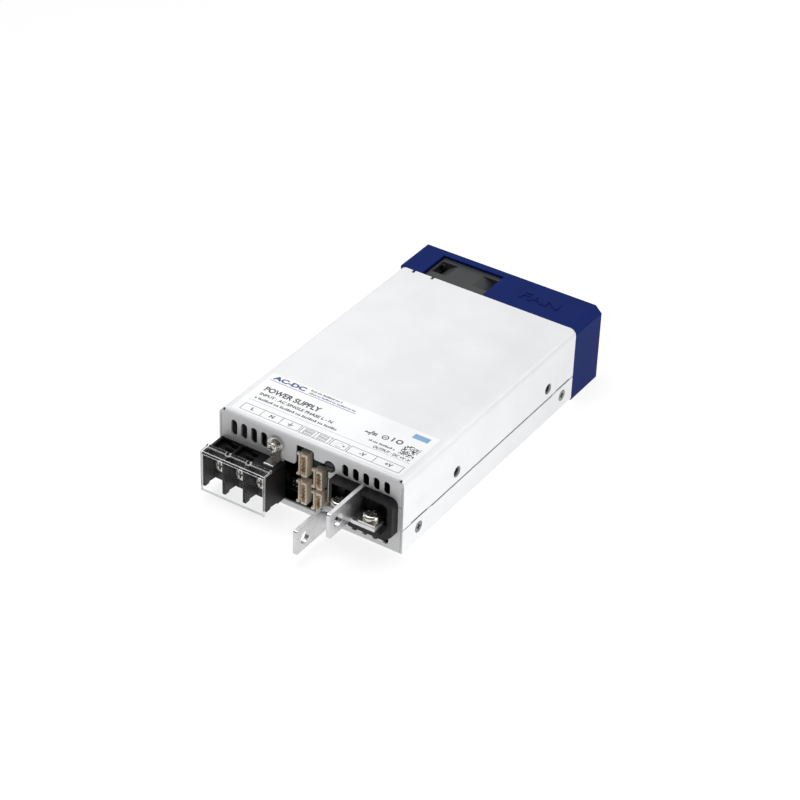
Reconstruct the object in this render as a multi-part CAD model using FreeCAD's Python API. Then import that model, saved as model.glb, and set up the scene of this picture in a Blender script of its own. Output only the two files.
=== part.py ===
import FreeCAD, Part
import math
import os

# Enclosed switching power supply with two cooling fans.
# All sizes are in millimetres. While it is built, x runs from the left side, y from the
# front panel towards the fans (minus is in front of the panel) and z up from the underside.
# Each piece is then moved so that the origin is the centre of the metal housing's underside.

V = FreeCAD.Vector

# Housing. Its width and height follow from what sits side by side and one above the other
# on its front panel, and are worked out below.
DEPTH = 152.4
SHEET = 1.0
SIDE_BEND = 3.5
FRONT_BEND = 2.0
BASE_BEND = 1.5
SEAM_GAP = 0.3
SIDE_SEAM_GAP = 0.6
SIDE_SEAM = 14.3
SEAM_PAST_AC = 1.1
CORNER_GAP = 0.25
RELIEF_R = 0.7
RELIEF_FROM_SIDE = 2.3
JOGGLE = 0.45
INNER_WALL_TOP = 27.0
INNER_WALL_FROM_FRONT = 24.0
INNER_WALL_FROM_REAR = 19.5

# Side screws and threaded mounting holes
SIDE_SCREW_Z = 8.3
SIDE_SCREW_FROM_FRONT = 13.5
SIDE_SCREW_FROM_REAR = 9.9
SIDE_SCREW_HEAD_R = 3.0
SIDE_SCREW_R = 1.5
SIDE_SCREW_LENGTH = 5.0
TAB_LENGTH = 13.0
TAB_BOTTOM = 3.6
MOUNT_Z = 20.0
MOUNT_FROM_FRONT = 45.4
MOUNT_FROM_REAR = 24.4
MOUNT_HOLE_R = 1.65
MOUNT_NUT_R = 2.9
MOUNT_NUT_FLANGE_R = 3.8
MOUNT_NUT_LENGTH = 4.0
MOUNT_NUT_FLANGE = 1.0

# Vent slots
SLOT_WIDTH = 3.5
SLOT_PITCH = 5.6
LEFT_SLOT_FROM_AC_LEFT = 7.0
LEFT_SLOT_PAST_SEAM = 2.1
LEFT_SLOT_LENGTH = 8.5
LEFT_SLOT_FROM_TOP = 4.3
RIGHT_SLOT_COUNT = 5
RIGHT_SLOT_FROM_RIGHT = 9.2
RIGHT_SLOT_PAST_OUTPUT = 0.2
RIGHT_SLOT_FROM_TOP = 3.6
LOWER_SLOT_COUNT = 4
LOWER_SLOT_LOW = 3.1
LOWER_SLOT_HIGH = 9.8

# Opening for the signal headers and the trimmer
OPENING_FROM_AC = 5.7
OPENING_PAST_HEADER = 3.3
OPENING_FROM_TOP = 3.5
OPENING_STEP_FROM_TOP = 7.8
LIP_UNDER_AC = 1.5
TONGUE_CUT_WIDTH = 4.0
TONGUE_CUT_HEIGHT = 5.0
TONGUE_CUT_BEND = 1.8
LIP_TOP = 4.0
TRIMMER_FROM_OUTPUT = 3.0
TRIMMER_FROM_TOP = 8.3
TRIMMER_HOLE_R = 3.1

# AC terminal block
AC_LEFT = 1.4
AC_POLES = 3
AC_PITCH = 11.55
AC_WALL = 1.25
AC_BOTTOM = 4.9
AC_HEIGHT = 20.1
AC_REACH = 15.5
AC_BACK = 6.0
AC_DECK = 10.8
AC_DECK_THICK = 3.6
AC_RECESS = 2.4
AC_RIB = 0.9
AC_FINGER_FIRST = 1.9
AC_FINGER_PITCH = 3.7
AC_FINGER = 4.4
AC_FINGER_MIDDLE = 5.4
AC_BOSS = 3.0
AC_BOSS_INSET = 2.6
AC_BOSS_RISE = 2.0
AC_BAR = 1.0
AC_PLATE_PLAY = 0.95
AC_PLATE_HEIGHT = 12.0
AC_CLAMP = 1.0
AC_CLAMP_PLAY = 1.15
AC_SCREW_FROM_TOP = 8.4
AC_SCREW_R = 1.75
AC_SCREW_HEAD_R = 3.5
AC_SCREW_HEAD = 2.3
AC_LEAD_WIDTH = 4.0
AC_LEAD_UNDER_SCREW = 5.6
AC_LEAD_REACH = 9.0

# Clear hinged cover of the AC terminal block
LID_WALL = 0.9
LID_GAP = 0.3
LID_BOTTOM = 3.8
LID_HINGE_Y = 11.6
LID_HINGE_RISE = 1.25
LID_TOP_OVER_HINGE = 0.25
LID_BARREL_R = 0.95
LID_PIN_R = 0.5
LID_PIN_PLAY = 0.05
LID_SIDE_PLAY = 0.3
LID_RIM = 0.9
LID_RIM_DEPTH = 0.35

# Earth connection on the third pole
EARTH_FROM_AC_RIGHT = 4.8
EARTH_FROM_TOP = 7.8
EARTH_STRIP = 5.4
EARTH_REACH = 7.0
EARTH_LIP = 2.4
EARTH_SHEET = 0.8
EARTH_CUP_R = 4.2
EARTH_CUP = 0.8
EARTH_WASHER_R = 3.1
EARTH_WASHER = 0.8
EARTH_SPRING_R = 2.6
EARTH_SPRING = 0.6
EARTH_SCREW_R = 1.5
EARTH_HEAD_R = 2.6
EARTH_HEAD = 1.7
EARTH_NUT_AF = 5.5
EARTH_NUT = 2.4

# Signal headers
HEADER_WIDTH = 4.6
HEADER_EAR = 1.1
HEADER_HEIGHT = 4.7
HEADER_WALL = 0.6
HEADER_END = 1.1
HEADER_BASE = 1.0
HEADER_FRONT = 0.2
PIN_PITCH = 2.0
PIN_SIZE = 0.5
PIN_REACH = 3.4
HEADER_IN_OPENING = 1.6
HEADER_SPACING = 8.4
HEADER_BETWEEN = 1.0
LONG_OVER_LIP = 1.6
LONG_UNDER_OPENING_TOP = 4.1
SHORT_OVER_LIP = 1.0
SHORT_UNDER_STEP = 5.6
SIGNAL_BOARD_PAST_OPENING = 0.8
SIGNAL_BOARD_PAST_TRIMMER = 4.6
SIGNAL_BOARD_FROM_TOP = 3.0
SIGNAL_BOARD_OVER_BOSS = 2.0

# Trimmer
TRIMMER_BODY = 6.4
TRIMMER_BODY_DEPTH = 2.8
TRIMMER_DISC_R = 2.3
TRIMMER_DISC = 1.5
TRIMMER_SHAFT_R = 1.2
TRIMMER_SHAFT_PLAY = 0.05
TRIMMER_DISC_GAP = 0.15
TRIMMER_SLOT = 0.6

# Output terminal moulding, busbars and their hardware
OUT_FROM_OPENING = 3.7
OUT_LEFT_PAST_SCREW = 7.4
OUT_RIGHT_PAST_SCREW = 9.5
OUT_FROM_RIGHT = 2.8
OUT_BOTTOM = 8.8
OUT_STEP_WIDTH = 10.6
OUT_STEP_BOTTOM = 12.4
OUT_PAST_SEAM = 4.3
OUT_DEPTH = 5.0
OUT_CORNER = 4.0
OUT_CHAMFER = 3.5
OUT_WALL = 2.7
OUT_SIDE_WALL = 1.7
OUT_RIM = 1.8
OUT_BACK = 1.5
OUT_DIVIDER = 1.6
OUT_SHELF_REACH = 10.8
OUT_SHELF_BOTTOM = 12.6
OUT_BOSS = 3.0
OUT_BOSS_INSET = 3.0
OUT_BOSS_UNDER_SEAM = 1.5
OUT_RIB = 1.2
OUT_RIB_DEPTH = 1.1
OUT_RIB_X = 4.4
OUT_SHELF_SIDE = 0.8
BAR_THICK = 2.0
BAR_BEND = 1.2
FOOT_Z = 17.4
FOOT_FRONT = 11.8
FOOT_REAR = 2.3
FOOT_PAST_SCREW = 4.7
FOOT_TO_DIVIDER = 1.2
BLADE_HEIGHT = 13.0
BLADE_SHOULDER = 1.2
BLADE_DROP = 2.0
BLADE_GAP = 0.3
PLUS_BLADE_FROM_SCREW = 9.8
PLUS_BLADE_FRONT = 28.6
PLUS_BLADE_REAR = 0.7
MINUS_BLADE_FROM_SCREW = 8.0
MINUS_BLADE_FRONT = 31.8
BLADE_HOLE_R = 3.3
BLADE_HOLE_FROM_END = 6.6
OUT_SCREW_R = 1.9
OUT_SCREW_LENGTH = 7.0
OUT_SCREW_HEAD_R = 4.0
OUT_SCREW_HEAD = 2.6
OUT_WASHER = 9.2
OUT_WASHER_THICK = 1.2
OUT_TAB_WIDTH = 8.0
OUT_TAB_REACH = 8.6

# Boards
BOARD_THICK = 1.6
BOARD_Z = 5.0
BOARD_SIDE_GAP = 1.0
BOARD_REAR_GAP = 5.0
FILM = 0.3
FILM_GAP = 0.3
STANDOFF_R = 2.6
STANDOFF_FROM_SIDE = 7.0
STANDOFF_FROM_END = 18.5
BOARD_SCREW_R = 1.25
BOARD_SCREW_HEAD_R = 2.6
BOARD_SCREW_HEAD = 1.8

# Fans and the moulded cap that holds them
CAP_WALL = 1.4
CAP_REAR_WALL = 2.0
CAP_CHAMFER = 3.5
CAP_LIP = 3.0
CAP_LIP_WALL = 1.2
CAP_LIP_GAP = 0.15
CAP_LIP_PAST_WINDOW = 6.0
CAP_WINDOW_LEFT_OF_FAN = 18.0
CAP_WINDOW_RIGHT_OF_FAN = 17.4
CAP_WINDOW_FROM_REAR = 4.3
CAP_LATCH_X = 13.8
CAP_LATCH_WIDTH = 11.0
CAP_LATCH_SLIT = 1.5
CAP_LATCH_DEPTH = 2.2
GUARD_RINGS = 3
GUARD_RING_WIDTH = 1.2
GUARD_HUB_R = 8.0
GUARD_SPOKES = 4
FAN_PLAY = 0.1
FAN_DEPTH = 20.0
FAN_SEAT = 1.4
FAN_FRONT_GAP = 2.0
FAN_FLANGE = 4.0
FAN_FRONT_FLANGE = 4.9
FAN_SIDE_WALL = 2.7
FAN_CORNER = 2.5
FAN_DRUM_PAST_SIDE = 1.3
FAN_BORE_WALL = 1.1
FAN_HOLE_R = 1.75
FAN_HOLE_FROM_EDGE = 3.0
FAN_HOLE_PLAY = 0.1
FAN_BETWEEN = 3.0
FAN_STRUTS = 3
FAN_STRUT_WIDTH = 2.4
FAN_BASE_R = 9.4
FAN_BASE = 2.2
FAN_TUBE_R = 2.8
FAN_TUBE_IN_HUB = 5.0
ROTOR_HUB_R = 9.2
ROTOR_WALL = 1.1
ROTOR_REAR_GAP = 2.6
ROTOR_FRONT_GAP = 1.2
ROTOR_TIP_GAP = 0.8
ROTOR_SHAFT_R = 1.0
ROTOR_SHAFT_PLAY = 0.04
BLADE_COUNT = 7
BLADE_THICK = 0.9
BLADE_CHORD_ROOT = 11.0
BLADE_CHORD_TIP = 13.5
BLADE_PITCH_ROOT = 48.0
BLADE_PITCH_TIP = 32.0

# Inner pieces on the main board
INNER_MARGIN = 3.0
PIECE_GAP = 1.5
ROOF_GAP = 3.4
CONTROL_ROOF_GAP = 5.4
REAR_GAP = 7.4
HEATSINK_THICK = 2.5
HEATSINK_ROOF_GAP = 6.4
FIN_COUNT = 4
FIN_LENGTH = 5.0
FIN_THICK = 1.2
FUSE_FROM_LEFT = 4.0
FUSE_FRONT = 24.0
FUSE_LENGTH = 18.0
FUSE_R = 2.6
FUSE_AXIS = 3.2
FUSE_HOLDER = 4.0
FUSE_HOLDER_HEIGHT = 1.6
FILTER_FROM_LEFT = 23.0
FILTER_Y = 30.0
FILTER_R = 12.0
FILTER_HOLE_R = 6.0
FILTER_HEIGHT = 20.0
CHOKE_FOOT = 2.0
CHOKE_FOOT_RIM = 2.0
CHOKE_ROUNDING = 2.5
PFC_FROM_LEFT = 28.0
PFC_FROM_FILTER = 6.5
PFC_R = 13.5
PFC_HOLE_R = 6.5
PFC_HEIGHT = 20.0
FILM_BOX_FROM_LEFT = 40.0
FILM_BOX_FRONT = 16.0
FILM_BOX_WIDTH = 10.0
FILM_BOX_LENGTH = 18.0
FILM_BOX_HEIGHT = 20.0
RELAY_FROM_FILM_BOX = 4.0
RELAY_WIDTH = 10.0
RELAY_LENGTH = 16.0
RELAY_HEIGHT = 15.0
INPUT_SINK_FRONT = 50.0
INPUT_SINK_LENGTH = 28.0
BRIDGE_FROM_SINK_FRONT = 4.0
BRIDGE_THICK = 3.6
BRIDGE_LENGTH = 20.0
BRIDGE_HEIGHT = 22.0
PRIMARY_SINK_FROM_INPUT_SINK = 6.0
TRANSISTOR_WIDTH = 10.0
TRANSISTOR_THICK = 4.4
TRANSISTOR_HEIGHT = 15.0
TRANSISTOR_LIFT = 5.0
TRANSISTOR_LEG = 0.8
TRANSISTOR_GAP = 0.5
CAPACITOR_R = 9.0
CAPACITOR_BETWEEN = 1.5
CAPACITOR_FROM_CHOKE = 7.5
CORE_Y = 70.0
CORE_WIDTH = 30.0
CORE_LENGTH = 26.0
CORE_LEG = 5.0
CORE_WINDOW = 5.5
CORE_YOKE = 5.0
WINDING_OVERHANG = 5.0
WINDING_ROUNDING = 3.0
CONTROL_FROM_WINDING = 5.0
OUTPUT_SINK_FRONT = 34.0
OUTPUT_SINK_PAST_CORE = 4.0
OUTPUT_TRANSISTOR_FROM_FRONT = 4.0
OUTPUT_TRANSISTOR_BETWEEN = 3.0
OUTPUT_CHOKE_Y = 44.0
OUTPUT_CHOKE_R = 9.5
OUTPUT_CHOKE_HOLE_R = 3.5
OUTPUT_CHOKE_HEIGHT = 18.0
SMALL_CAPACITOR_R = 4.0
SMALL_CAPACITOR_HEIGHT = 16.0
SMALL_CAPACITOR_BETWEEN = 1.6
SMALL_CAPACITOR_Y = 26.0
FAN_HEADER_FROM_RIGHT = 4.0
FAN_HEADER_LENGTH = 8.0
FAN_HEADER_WIDTH = 6.0
FAN_HEADER_HEIGHT = 7.0
FAN_HEADER_FROM_REAR = 15.4

# Front panel from left to right: AC block, signal headers, output terminals
AC_RIGHT = AC_LEFT + AC_POLES * AC_PITCH + AC_WALL
OPENING_LEFT = AC_RIGHT + OPENING_FROM_AC
HEADER_LEFT_X = OPENING_LEFT + HEADER_IN_OPENING
HEADER_RIGHT_X = HEADER_LEFT_X + HEADER_SPACING
OPENING_STEP = HEADER_RIGHT_X
OPENING_RIGHT = HEADER_RIGHT_X + HEADER_WIDTH + OPENING_PAST_HEADER
OUT_LEFT = OPENING_RIGHT + OUT_FROM_OPENING
MINUS_SCREW_X = OUT_LEFT + OUT_LEFT_PAST_SCREW
MINUS_BLADE_X = MINUS_SCREW_X - MINUS_BLADE_FROM_SCREW
OUT_DIVIDER_X = MINUS_SCREW_X + FOOT_PAST_SCREW + FOOT_TO_DIVIDER
PLUS_BLADE_X = OUT_DIVIDER_X + OUT_DIVIDER
PLUS_SCREW_X = PLUS_BLADE_X + PLUS_BLADE_FROM_SCREW
OUT_RIGHT = PLUS_SCREW_X + OUT_RIGHT_PAST_SCREW
WIDTH = OUT_RIGHT + OUT_FROM_RIGHT

# Front panel from the underside up: AC block, seam, vent slots, top
AC_TOP = AC_BOTTOM + AC_HEIGHT
PANEL_SEAM = AC_TOP + SEAM_PAST_AC
LEFT_SLOT_LOW = PANEL_SEAM + LEFT_SLOT_PAST_SEAM
LEFT_SLOT_HIGH = LEFT_SLOT_LOW + LEFT_SLOT_LENGTH
HEIGHT = LEFT_SLOT_HIGH + LEFT_SLOT_FROM_TOP
OUT_TOP = PANEL_SEAM + OUT_PAST_SEAM
OUT_BOSS_TOP = PANEL_SEAM - OUT_BOSS_UNDER_SEAM
RIGHT_SLOT_LOW = OUT_TOP + RIGHT_SLOT_PAST_OUTPUT
RIGHT_SLOT_HIGH = HEIGHT - RIGHT_SLOT_FROM_TOP
OPENING_TOP = HEIGHT - OPENING_FROM_TOP
OPENING_STEP_TOP = HEIGHT - OPENING_STEP_FROM_TOP
AC_SCREW_Z = AC_TOP - AC_SCREW_FROM_TOP
AC_LEAD_Z = AC_SCREW_Z - AC_LEAD_UNDER_SCREW
LID_HINGE_Z = AC_TOP + LID_HINGE_RISE
FOOT_TOP = FOOT_Z + BAR_THICK

# Places that follow from the AC block, the opening and the output moulding
AC_PLATE_WIDTH = AC_PITCH - AC_WALL - AC_PLATE_PLAY * 2
AC_CLAMP_WIDTH = AC_PITCH - AC_WALL - AC_CLAMP_PLAY * 2
EARTH_X = AC_RIGHT - EARTH_FROM_AC_RIGHT
EARTH_Z = HEIGHT - EARTH_FROM_TOP
LEFT_SLOT_X = AC_LEFT + LEFT_SLOT_FROM_AC_LEFT
LEFT_SLOT_COUNT = int((EARTH_X - EARTH_CUP_R - LEFT_SLOT_X) / SLOT_PITCH) + 1
LIP_LEFT = AC_RIGHT - LIP_UNDER_AC
TRIMMER_X = OUT_LEFT - TRIMMER_FROM_OUTPUT
TRIMMER_Z = HEIGHT - TRIMMER_FROM_TOP
OUT_SCREW_Y = -(FOOT_FRONT + FOOT_REAR) / 2
SIGNAL_BOARD_LEFT = OPENING_LEFT - SIGNAL_BOARD_PAST_OPENING
SIGNAL_BOARD_TOP = HEIGHT - SIGNAL_BOARD_FROM_TOP

# Signal headers: as many pins as two headers, one above the other, have room for
HEADER_LONG_LOW_Z = LIP_TOP + LONG_OVER_LIP
HEADER_SHORT_LOW_Z = LIP_TOP + SHORT_OVER_LIP
LONG_TOP = OPENING_TOP - LONG_UNDER_OPENING_TOP
SHORT_TOP = OPENING_STEP_TOP - SHORT_UNDER_STEP
LONG_ROOM = (LONG_TOP - HEADER_LONG_LOW_Z - HEADER_BETWEEN) / 2
SHORT_ROOM = (SHORT_TOP - HEADER_SHORT_LOW_Z - HEADER_BETWEEN) / 2
LONG_PINS = int((LONG_ROOM - HEADER_END * 2) / PIN_PITCH)
SHORT_PINS = int((SHORT_ROOM - HEADER_END * 2) / PIN_PITCH)

# Inside of the housing
INNER_LEFT = SHEET * 2
INNER_RIGHT = WIDTH - SHEET * 2
BOARD_TOP = BOARD_Z + BOARD_THICK
BOARD_LEFT = INNER_LEFT + BOARD_SIDE_GAP
BOARD_RIGHT = INNER_RIGHT - BOARD_SIDE_GAP
BOARD_REAR = DEPTH - BOARD_REAR_GAP
SIGNAL_BOARD_Y = HEADER_HEIGHT - HEADER_FRONT
BOARD_FRONT = SIGNAL_BOARD_Y + BOARD_THICK
ROOM_OVER_BOARD = HEIGHT - SHEET - BOARD_TOP
HEATSINK_HEIGHT = ROOM_OVER_BOARD - HEATSINK_ROOF_GAP
CORE_HEIGHT = ROOM_OVER_BOARD - ROOF_GAP
CAPACITOR_HEIGHT = ROOM_OVER_BOARD - ROOF_GAP
CONTROL_HEIGHT = ROOM_OVER_BOARD - CONTROL_ROOF_GAP
PFC_Y = FILTER_Y + FILTER_R + PFC_FROM_FILTER + PFC_R

# Fans and their cap, sized by the height of the housing
FAN_SIZE = HEIGHT - CAP_WALL * 2 - FAN_PLAY * 2
FAN_DRUM_R = FAN_SIZE / 2 + FAN_DRUM_PAST_SIDE
FAN_BORE_R = FAN_SIZE / 2 - FAN_BORE_WALL
FAN_HOLE_PITCH = FAN_SIZE - FAN_HOLE_FROM_EDGE * 2
FAN_MIDDLE_Z = HEIGHT / 2
FAN_LEFT_X = (WIDTH - FAN_SIZE - FAN_BETWEEN) / 2
FAN_RIGHT_X = (WIDTH + FAN_SIZE + FAN_BETWEEN) / 2
FAN_FRONT = DEPTH + FAN_FRONT_GAP
FAN_REAR = FAN_FRONT + FAN_DEPTH
CAP_REAR = FAN_REAR + FAN_SEAT + CAP_REAR_WALL
CAP_WINDOW_LEFT = FAN_LEFT_X - CAP_WINDOW_LEFT_OF_FAN
CAP_WINDOW_RIGHT = FAN_LEFT_X + CAP_WINDOW_RIGHT_OF_FAN
CAP_WINDOW_REAR = CAP_REAR - CAP_WINDOW_FROM_REAR
ROTOR_HUB = FAN_DEPTH - FAN_BASE - ROTOR_FRONT_GAP - ROTOR_REAR_GAP
FAN_TUBE = ROTOR_HUB - FAN_TUBE_IN_HUB
ROTOR_TIP_R = FAN_BORE_R - ROTOR_TIP_GAP


def box(x0, x1, y0, y1, z0, z1):
    """Upright block between two corners."""
    return Part.makeBox(x1 - x0, y1 - y0, z1 - z0, V(x0, y0, z0))


def rod(radius, start, end):
    """Round bar from one point to another."""
    run = end - start
    return Part.makeCylinder(radius, run.Length, start, run)


def cone(radius_start, radius_end, start, end):
    """Tapered round bar from one point to another."""
    run = end - start
    return Part.makeCone(radius_start, radius_end, run.Length, start, run)


def join(first, *others):
    """One solid from pieces that touch or cross."""
    return first.fuse(list(others)).removeSplitter()


def group(solids):
    """Separate solids that share one name."""
    return Part.makeCompound(list(solids))


def on_plane(axis, level):
    """Turn two flat coordinates into a point on the plane across an axis."""
    if axis == "x":
        return lambda a, b: V(level, a, b)
    if axis == "y":
        return lambda a, b: V(a, level, b)
    return lambda a, b: V(a, b, level)


def tangent_arc(before, corner, after, radius):
    """Start, middle and end of the arc that rounds a corner of an outline."""
    back = (before - corner).normalize()
    ahead = (after - corner).normalize()
    half = back.getAngle(ahead) / 2
    inward = (back + ahead).normalize()
    reach = radius / math.tan(half)
    middle = corner + inward * (radius / math.sin(half) - radius)
    return corner + back * reach, middle, corner + ahead * reach


def outline(corners, place):
    """Closed wire from corners (a, b) or (a, b, radius)."""
    points = [place(corner[0], corner[1]) for corner in corners]
    starts = []
    ends = []
    arcs = []
    for index, corner in enumerate(corners):
        point = points[index]
        if len(corner) < 3:
            starts.append(point)
            ends.append(point)
            continue
        after = points[(index + 1) % len(points)]
        first, middle, last = tangent_arc(points[index - 1], point, after, corner[2])
        starts.append(first)
        ends.append(last)
        arcs.append(Part.Arc(first, middle, last).toShape())
    edges = list(arcs)
    for index in range(len(points)):
        following = starts[(index + 1) % len(points)]
        if (following - ends[index]).Length > 1e-6:
            edges.append(Part.LineSegment(ends[index], following).toShape())
    return Part.Wire(Part.__sortEdges__(edges))


def slab(corners, axis, low, high):
    """Flat outline made as thick as the stretch from low to high along an axis."""
    run = {"x": V(high - low, 0, 0), "y": V(0, high - low, 0), "z": V(0, 0, high - low)}[axis]
    return Part.Face(outline(corners, on_plane(axis, low))).extrude(run)


def upright_slot(middle_x, low, high, width, y0, y1):
    """Round-ended upright slot, as the block that cuts it."""
    radius = width / 2
    ends = [rod(radius, V(middle_x, y0, z), V(middle_x, y1, z)) for z in (low + radius, high - radius)]
    return join(box(middle_x - radius, middle_x + radius, y0, y1, low + radius, high - radius), *ends)


def cross_recess(centre, inward, across, size):
    """Cross-shaped driver recess, as the block that cuts it into a screw head."""
    arms = []
    sideways = inward.cross(across)
    for long_way, short_way in ((across, sideways), (sideways, across)):
        width = size * 0.26
        corners = [centre + long_way * (size / 2 * a) + short_way * (width / 2 * b)
                   for a, b in ((-1, -1), (1, -1), (1, 1), (-1, 1), (-1, -1))]
        arms.append(Part.Face(Part.makePolygon(corners)).extrude(inward * (size * 0.35)))
    return join(arms[0], arms[1])


def pan_screw(head_top, inward, head_r, head, shank_r, length, across):
    """Pan head screw with a cross recess; length is measured under the head."""
    seat = head_top + inward * head
    body = rod(head_r, head_top, seat)
    crown = [edge for edge in body.Edges if abs((edge.CenterOfMass - head_top).Length) < 1e-6]
    body = body.makeFillet(head * 0.45, crown)
    shank = rod(shank_r, seat, seat + inward * length)
    return join(body, shank).cut(cross_recess(head_top, inward, across, head_r * 1.15))


def pan_section(bottom, top, bend, inset, along, floor_bend):
    """Block with its lower edges rounded, the outer or inner form of the base pan."""
    side = slab([(inset, bottom, bend), (WIDTH - inset, bottom, bend), (WIDTH - inset, top), (inset, top)],
                "y", along, DEPTH + inset)
    front = slab([(along, bottom, floor_bend), (DEPTH + inset, bottom), (DEPTH + inset, top), (along, top)],
                 "x", inset, WIDTH - inset)
    return side.common(front)


def side_screw_places():
    """Centres of the side screws on each outer face, with the way in."""
    for x, inward in ((0, V(1, 0, 0)), (WIDTH, V(-1, 0, 0))):
        for y in (SIDE_SCREW_FROM_FRONT, DEPTH - SIDE_SCREW_FROM_REAR):
            yield V(x, y, SIDE_SCREW_Z), inward


def side_screws():
    """Four flat-head screws that hold the cover's tabs behind the base pan's side strips."""
    screws = []
    for face, inward in side_screw_places():
        depth = SIDE_SCREW_HEAD_R - SIDE_SCREW_R
        head = cone(SIDE_SCREW_HEAD_R, SIDE_SCREW_R, face, face + inward * depth)
        shank = rod(SIDE_SCREW_R, face + inward * depth, face + inward * SIDE_SCREW_LENGTH)
        recess = cross_recess(face, inward, V(0, 1, 0), SIDE_SCREW_HEAD_R * 1.1)
        screws.append(join(head, shank).cut(recess))
    return screws


def side_screw_holes():
    """Countersunk holes for the side screws, as the blocks that cut them."""
    holes = []
    for face, inward in side_screw_places():
        depth = SIDE_SCREW_HEAD_R - SIDE_SCREW_R
        sink = cone(SIDE_SCREW_HEAD_R, SIDE_SCREW_R, face, face + inward * depth)
        holes.append(join(sink, rod(SIDE_SCREW_R, face, face + inward * SIDE_SCREW_LENGTH)))
    return holes


def mount_places():
    """Centres of the threaded mounting holes on each inner wall, with the way in."""
    for x, inward in ((SHEET, V(1, 0, 0)), (WIDTH - SHEET, V(-1, 0, 0))):
        for y in (MOUNT_FROM_FRONT, DEPTH - MOUNT_FROM_REAR):
            yield V(x, y, MOUNT_Z), inward


def side_mount_nuts():
    """Press-in nuts in the inner walls that take the customer's mounting screws."""
    nuts = []
    for face, inward in mount_places():
        body = rod(MOUNT_NUT_R, face, face + inward * MOUNT_NUT_LENGTH)
        collar = rod(MOUNT_NUT_FLANGE_R, face + inward * SHEET,
                     face + inward * (SHEET + MOUNT_NUT_FLANGE))
        bore = rod(MOUNT_HOLE_R, face, face + inward * MOUNT_NUT_LENGTH)
        nuts.append(join(body, collar).cut(bore))
    return nuts


def joggled_wall(outer, inner, y0, y1, low, high):
    """Side flange that steps inwards by one sheet so that it lies behind the other side sheet."""
    step = SHEET if inner > outer else -SHEET
    top = SIDE_SEAM - SIDE_SEAM_GAP
    corners = [(outer, low), (outer, top - JOGGLE), (inner, top), (inner, high),
               (inner + step, high), (inner + step, top - JOGGLE), (inner, top - JOGGLE * 2), (inner, low)]
    return slab(corners, "y", y0, y1)


def panel_holes():
    """Round trimmer hole and the stepped opening for the signal headers."""
    hole = rod(TRIMMER_HOLE_R, V(TRIMMER_X, -SHEET, TRIMMER_Z), V(TRIMMER_X, SHEET * 2, TRIMMER_Z))
    corners = [(OPENING_LEFT, LIP_TOP), (OPENING_RIGHT, LIP_TOP), (OPENING_RIGHT, OPENING_STEP_TOP, 1.0),
               (OPENING_STEP, OPENING_STEP_TOP, 1.0), (OPENING_STEP, OPENING_TOP, 1.5),
               (OPENING_LEFT, OPENING_TOP, 1.5)]
    opening = slab(corners, "y", -SHEET, SHEET * 2)
    return join(hole, opening)


def slot_row(count, first_x, step, low, high):
    """Row of vent slots through the front panel, as the blocks that cut them."""
    return [upright_slot(first_x + step * index, low, high, SLOT_WIDTH, -SHEET, SHEET * 2)
            for index in range(count)]


def ac_boss_outline(gap):
    """Outline of the AC block's boss that passes through the front panel."""
    left = AC_LEFT + AC_BOSS_INSET - gap
    right = AC_RIGHT - AC_BOSS_INSET + gap
    return [(left, AC_BOTTOM + AC_BOSS_RISE - gap), (right, AC_BOTTOM + AC_BOSS_RISE - gap),
            (right, AC_TOP - AC_BOSS_RISE + gap), (left, AC_TOP - AC_BOSS_RISE + gap)]


def out_boss_outline(gap):
    """Outline of the output moulding's boss that passes through the front panel."""
    left = OUT_LEFT + OUT_BOSS_INSET - gap
    right = OUT_RIGHT - OUT_BOSS_INSET + gap
    return [(left, OUT_STEP_BOTTOM + 1.0 - gap), (right, OUT_STEP_BOTTOM + 1.0 - gap),
            (right, OUT_BOSS_TOP + gap), (left, OUT_BOSS_TOP + gap)]


def standoff_places():
    """Centres of the board stand-offs."""
    low = STANDOFF_FROM_END
    high = DEPTH - STANDOFF_FROM_END
    for x in (STANDOFF_FROM_SIDE, WIDTH - STANDOFF_FROM_SIDE):
        for y in (low, (low + high) / 2, high):
            yield x, y


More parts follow.
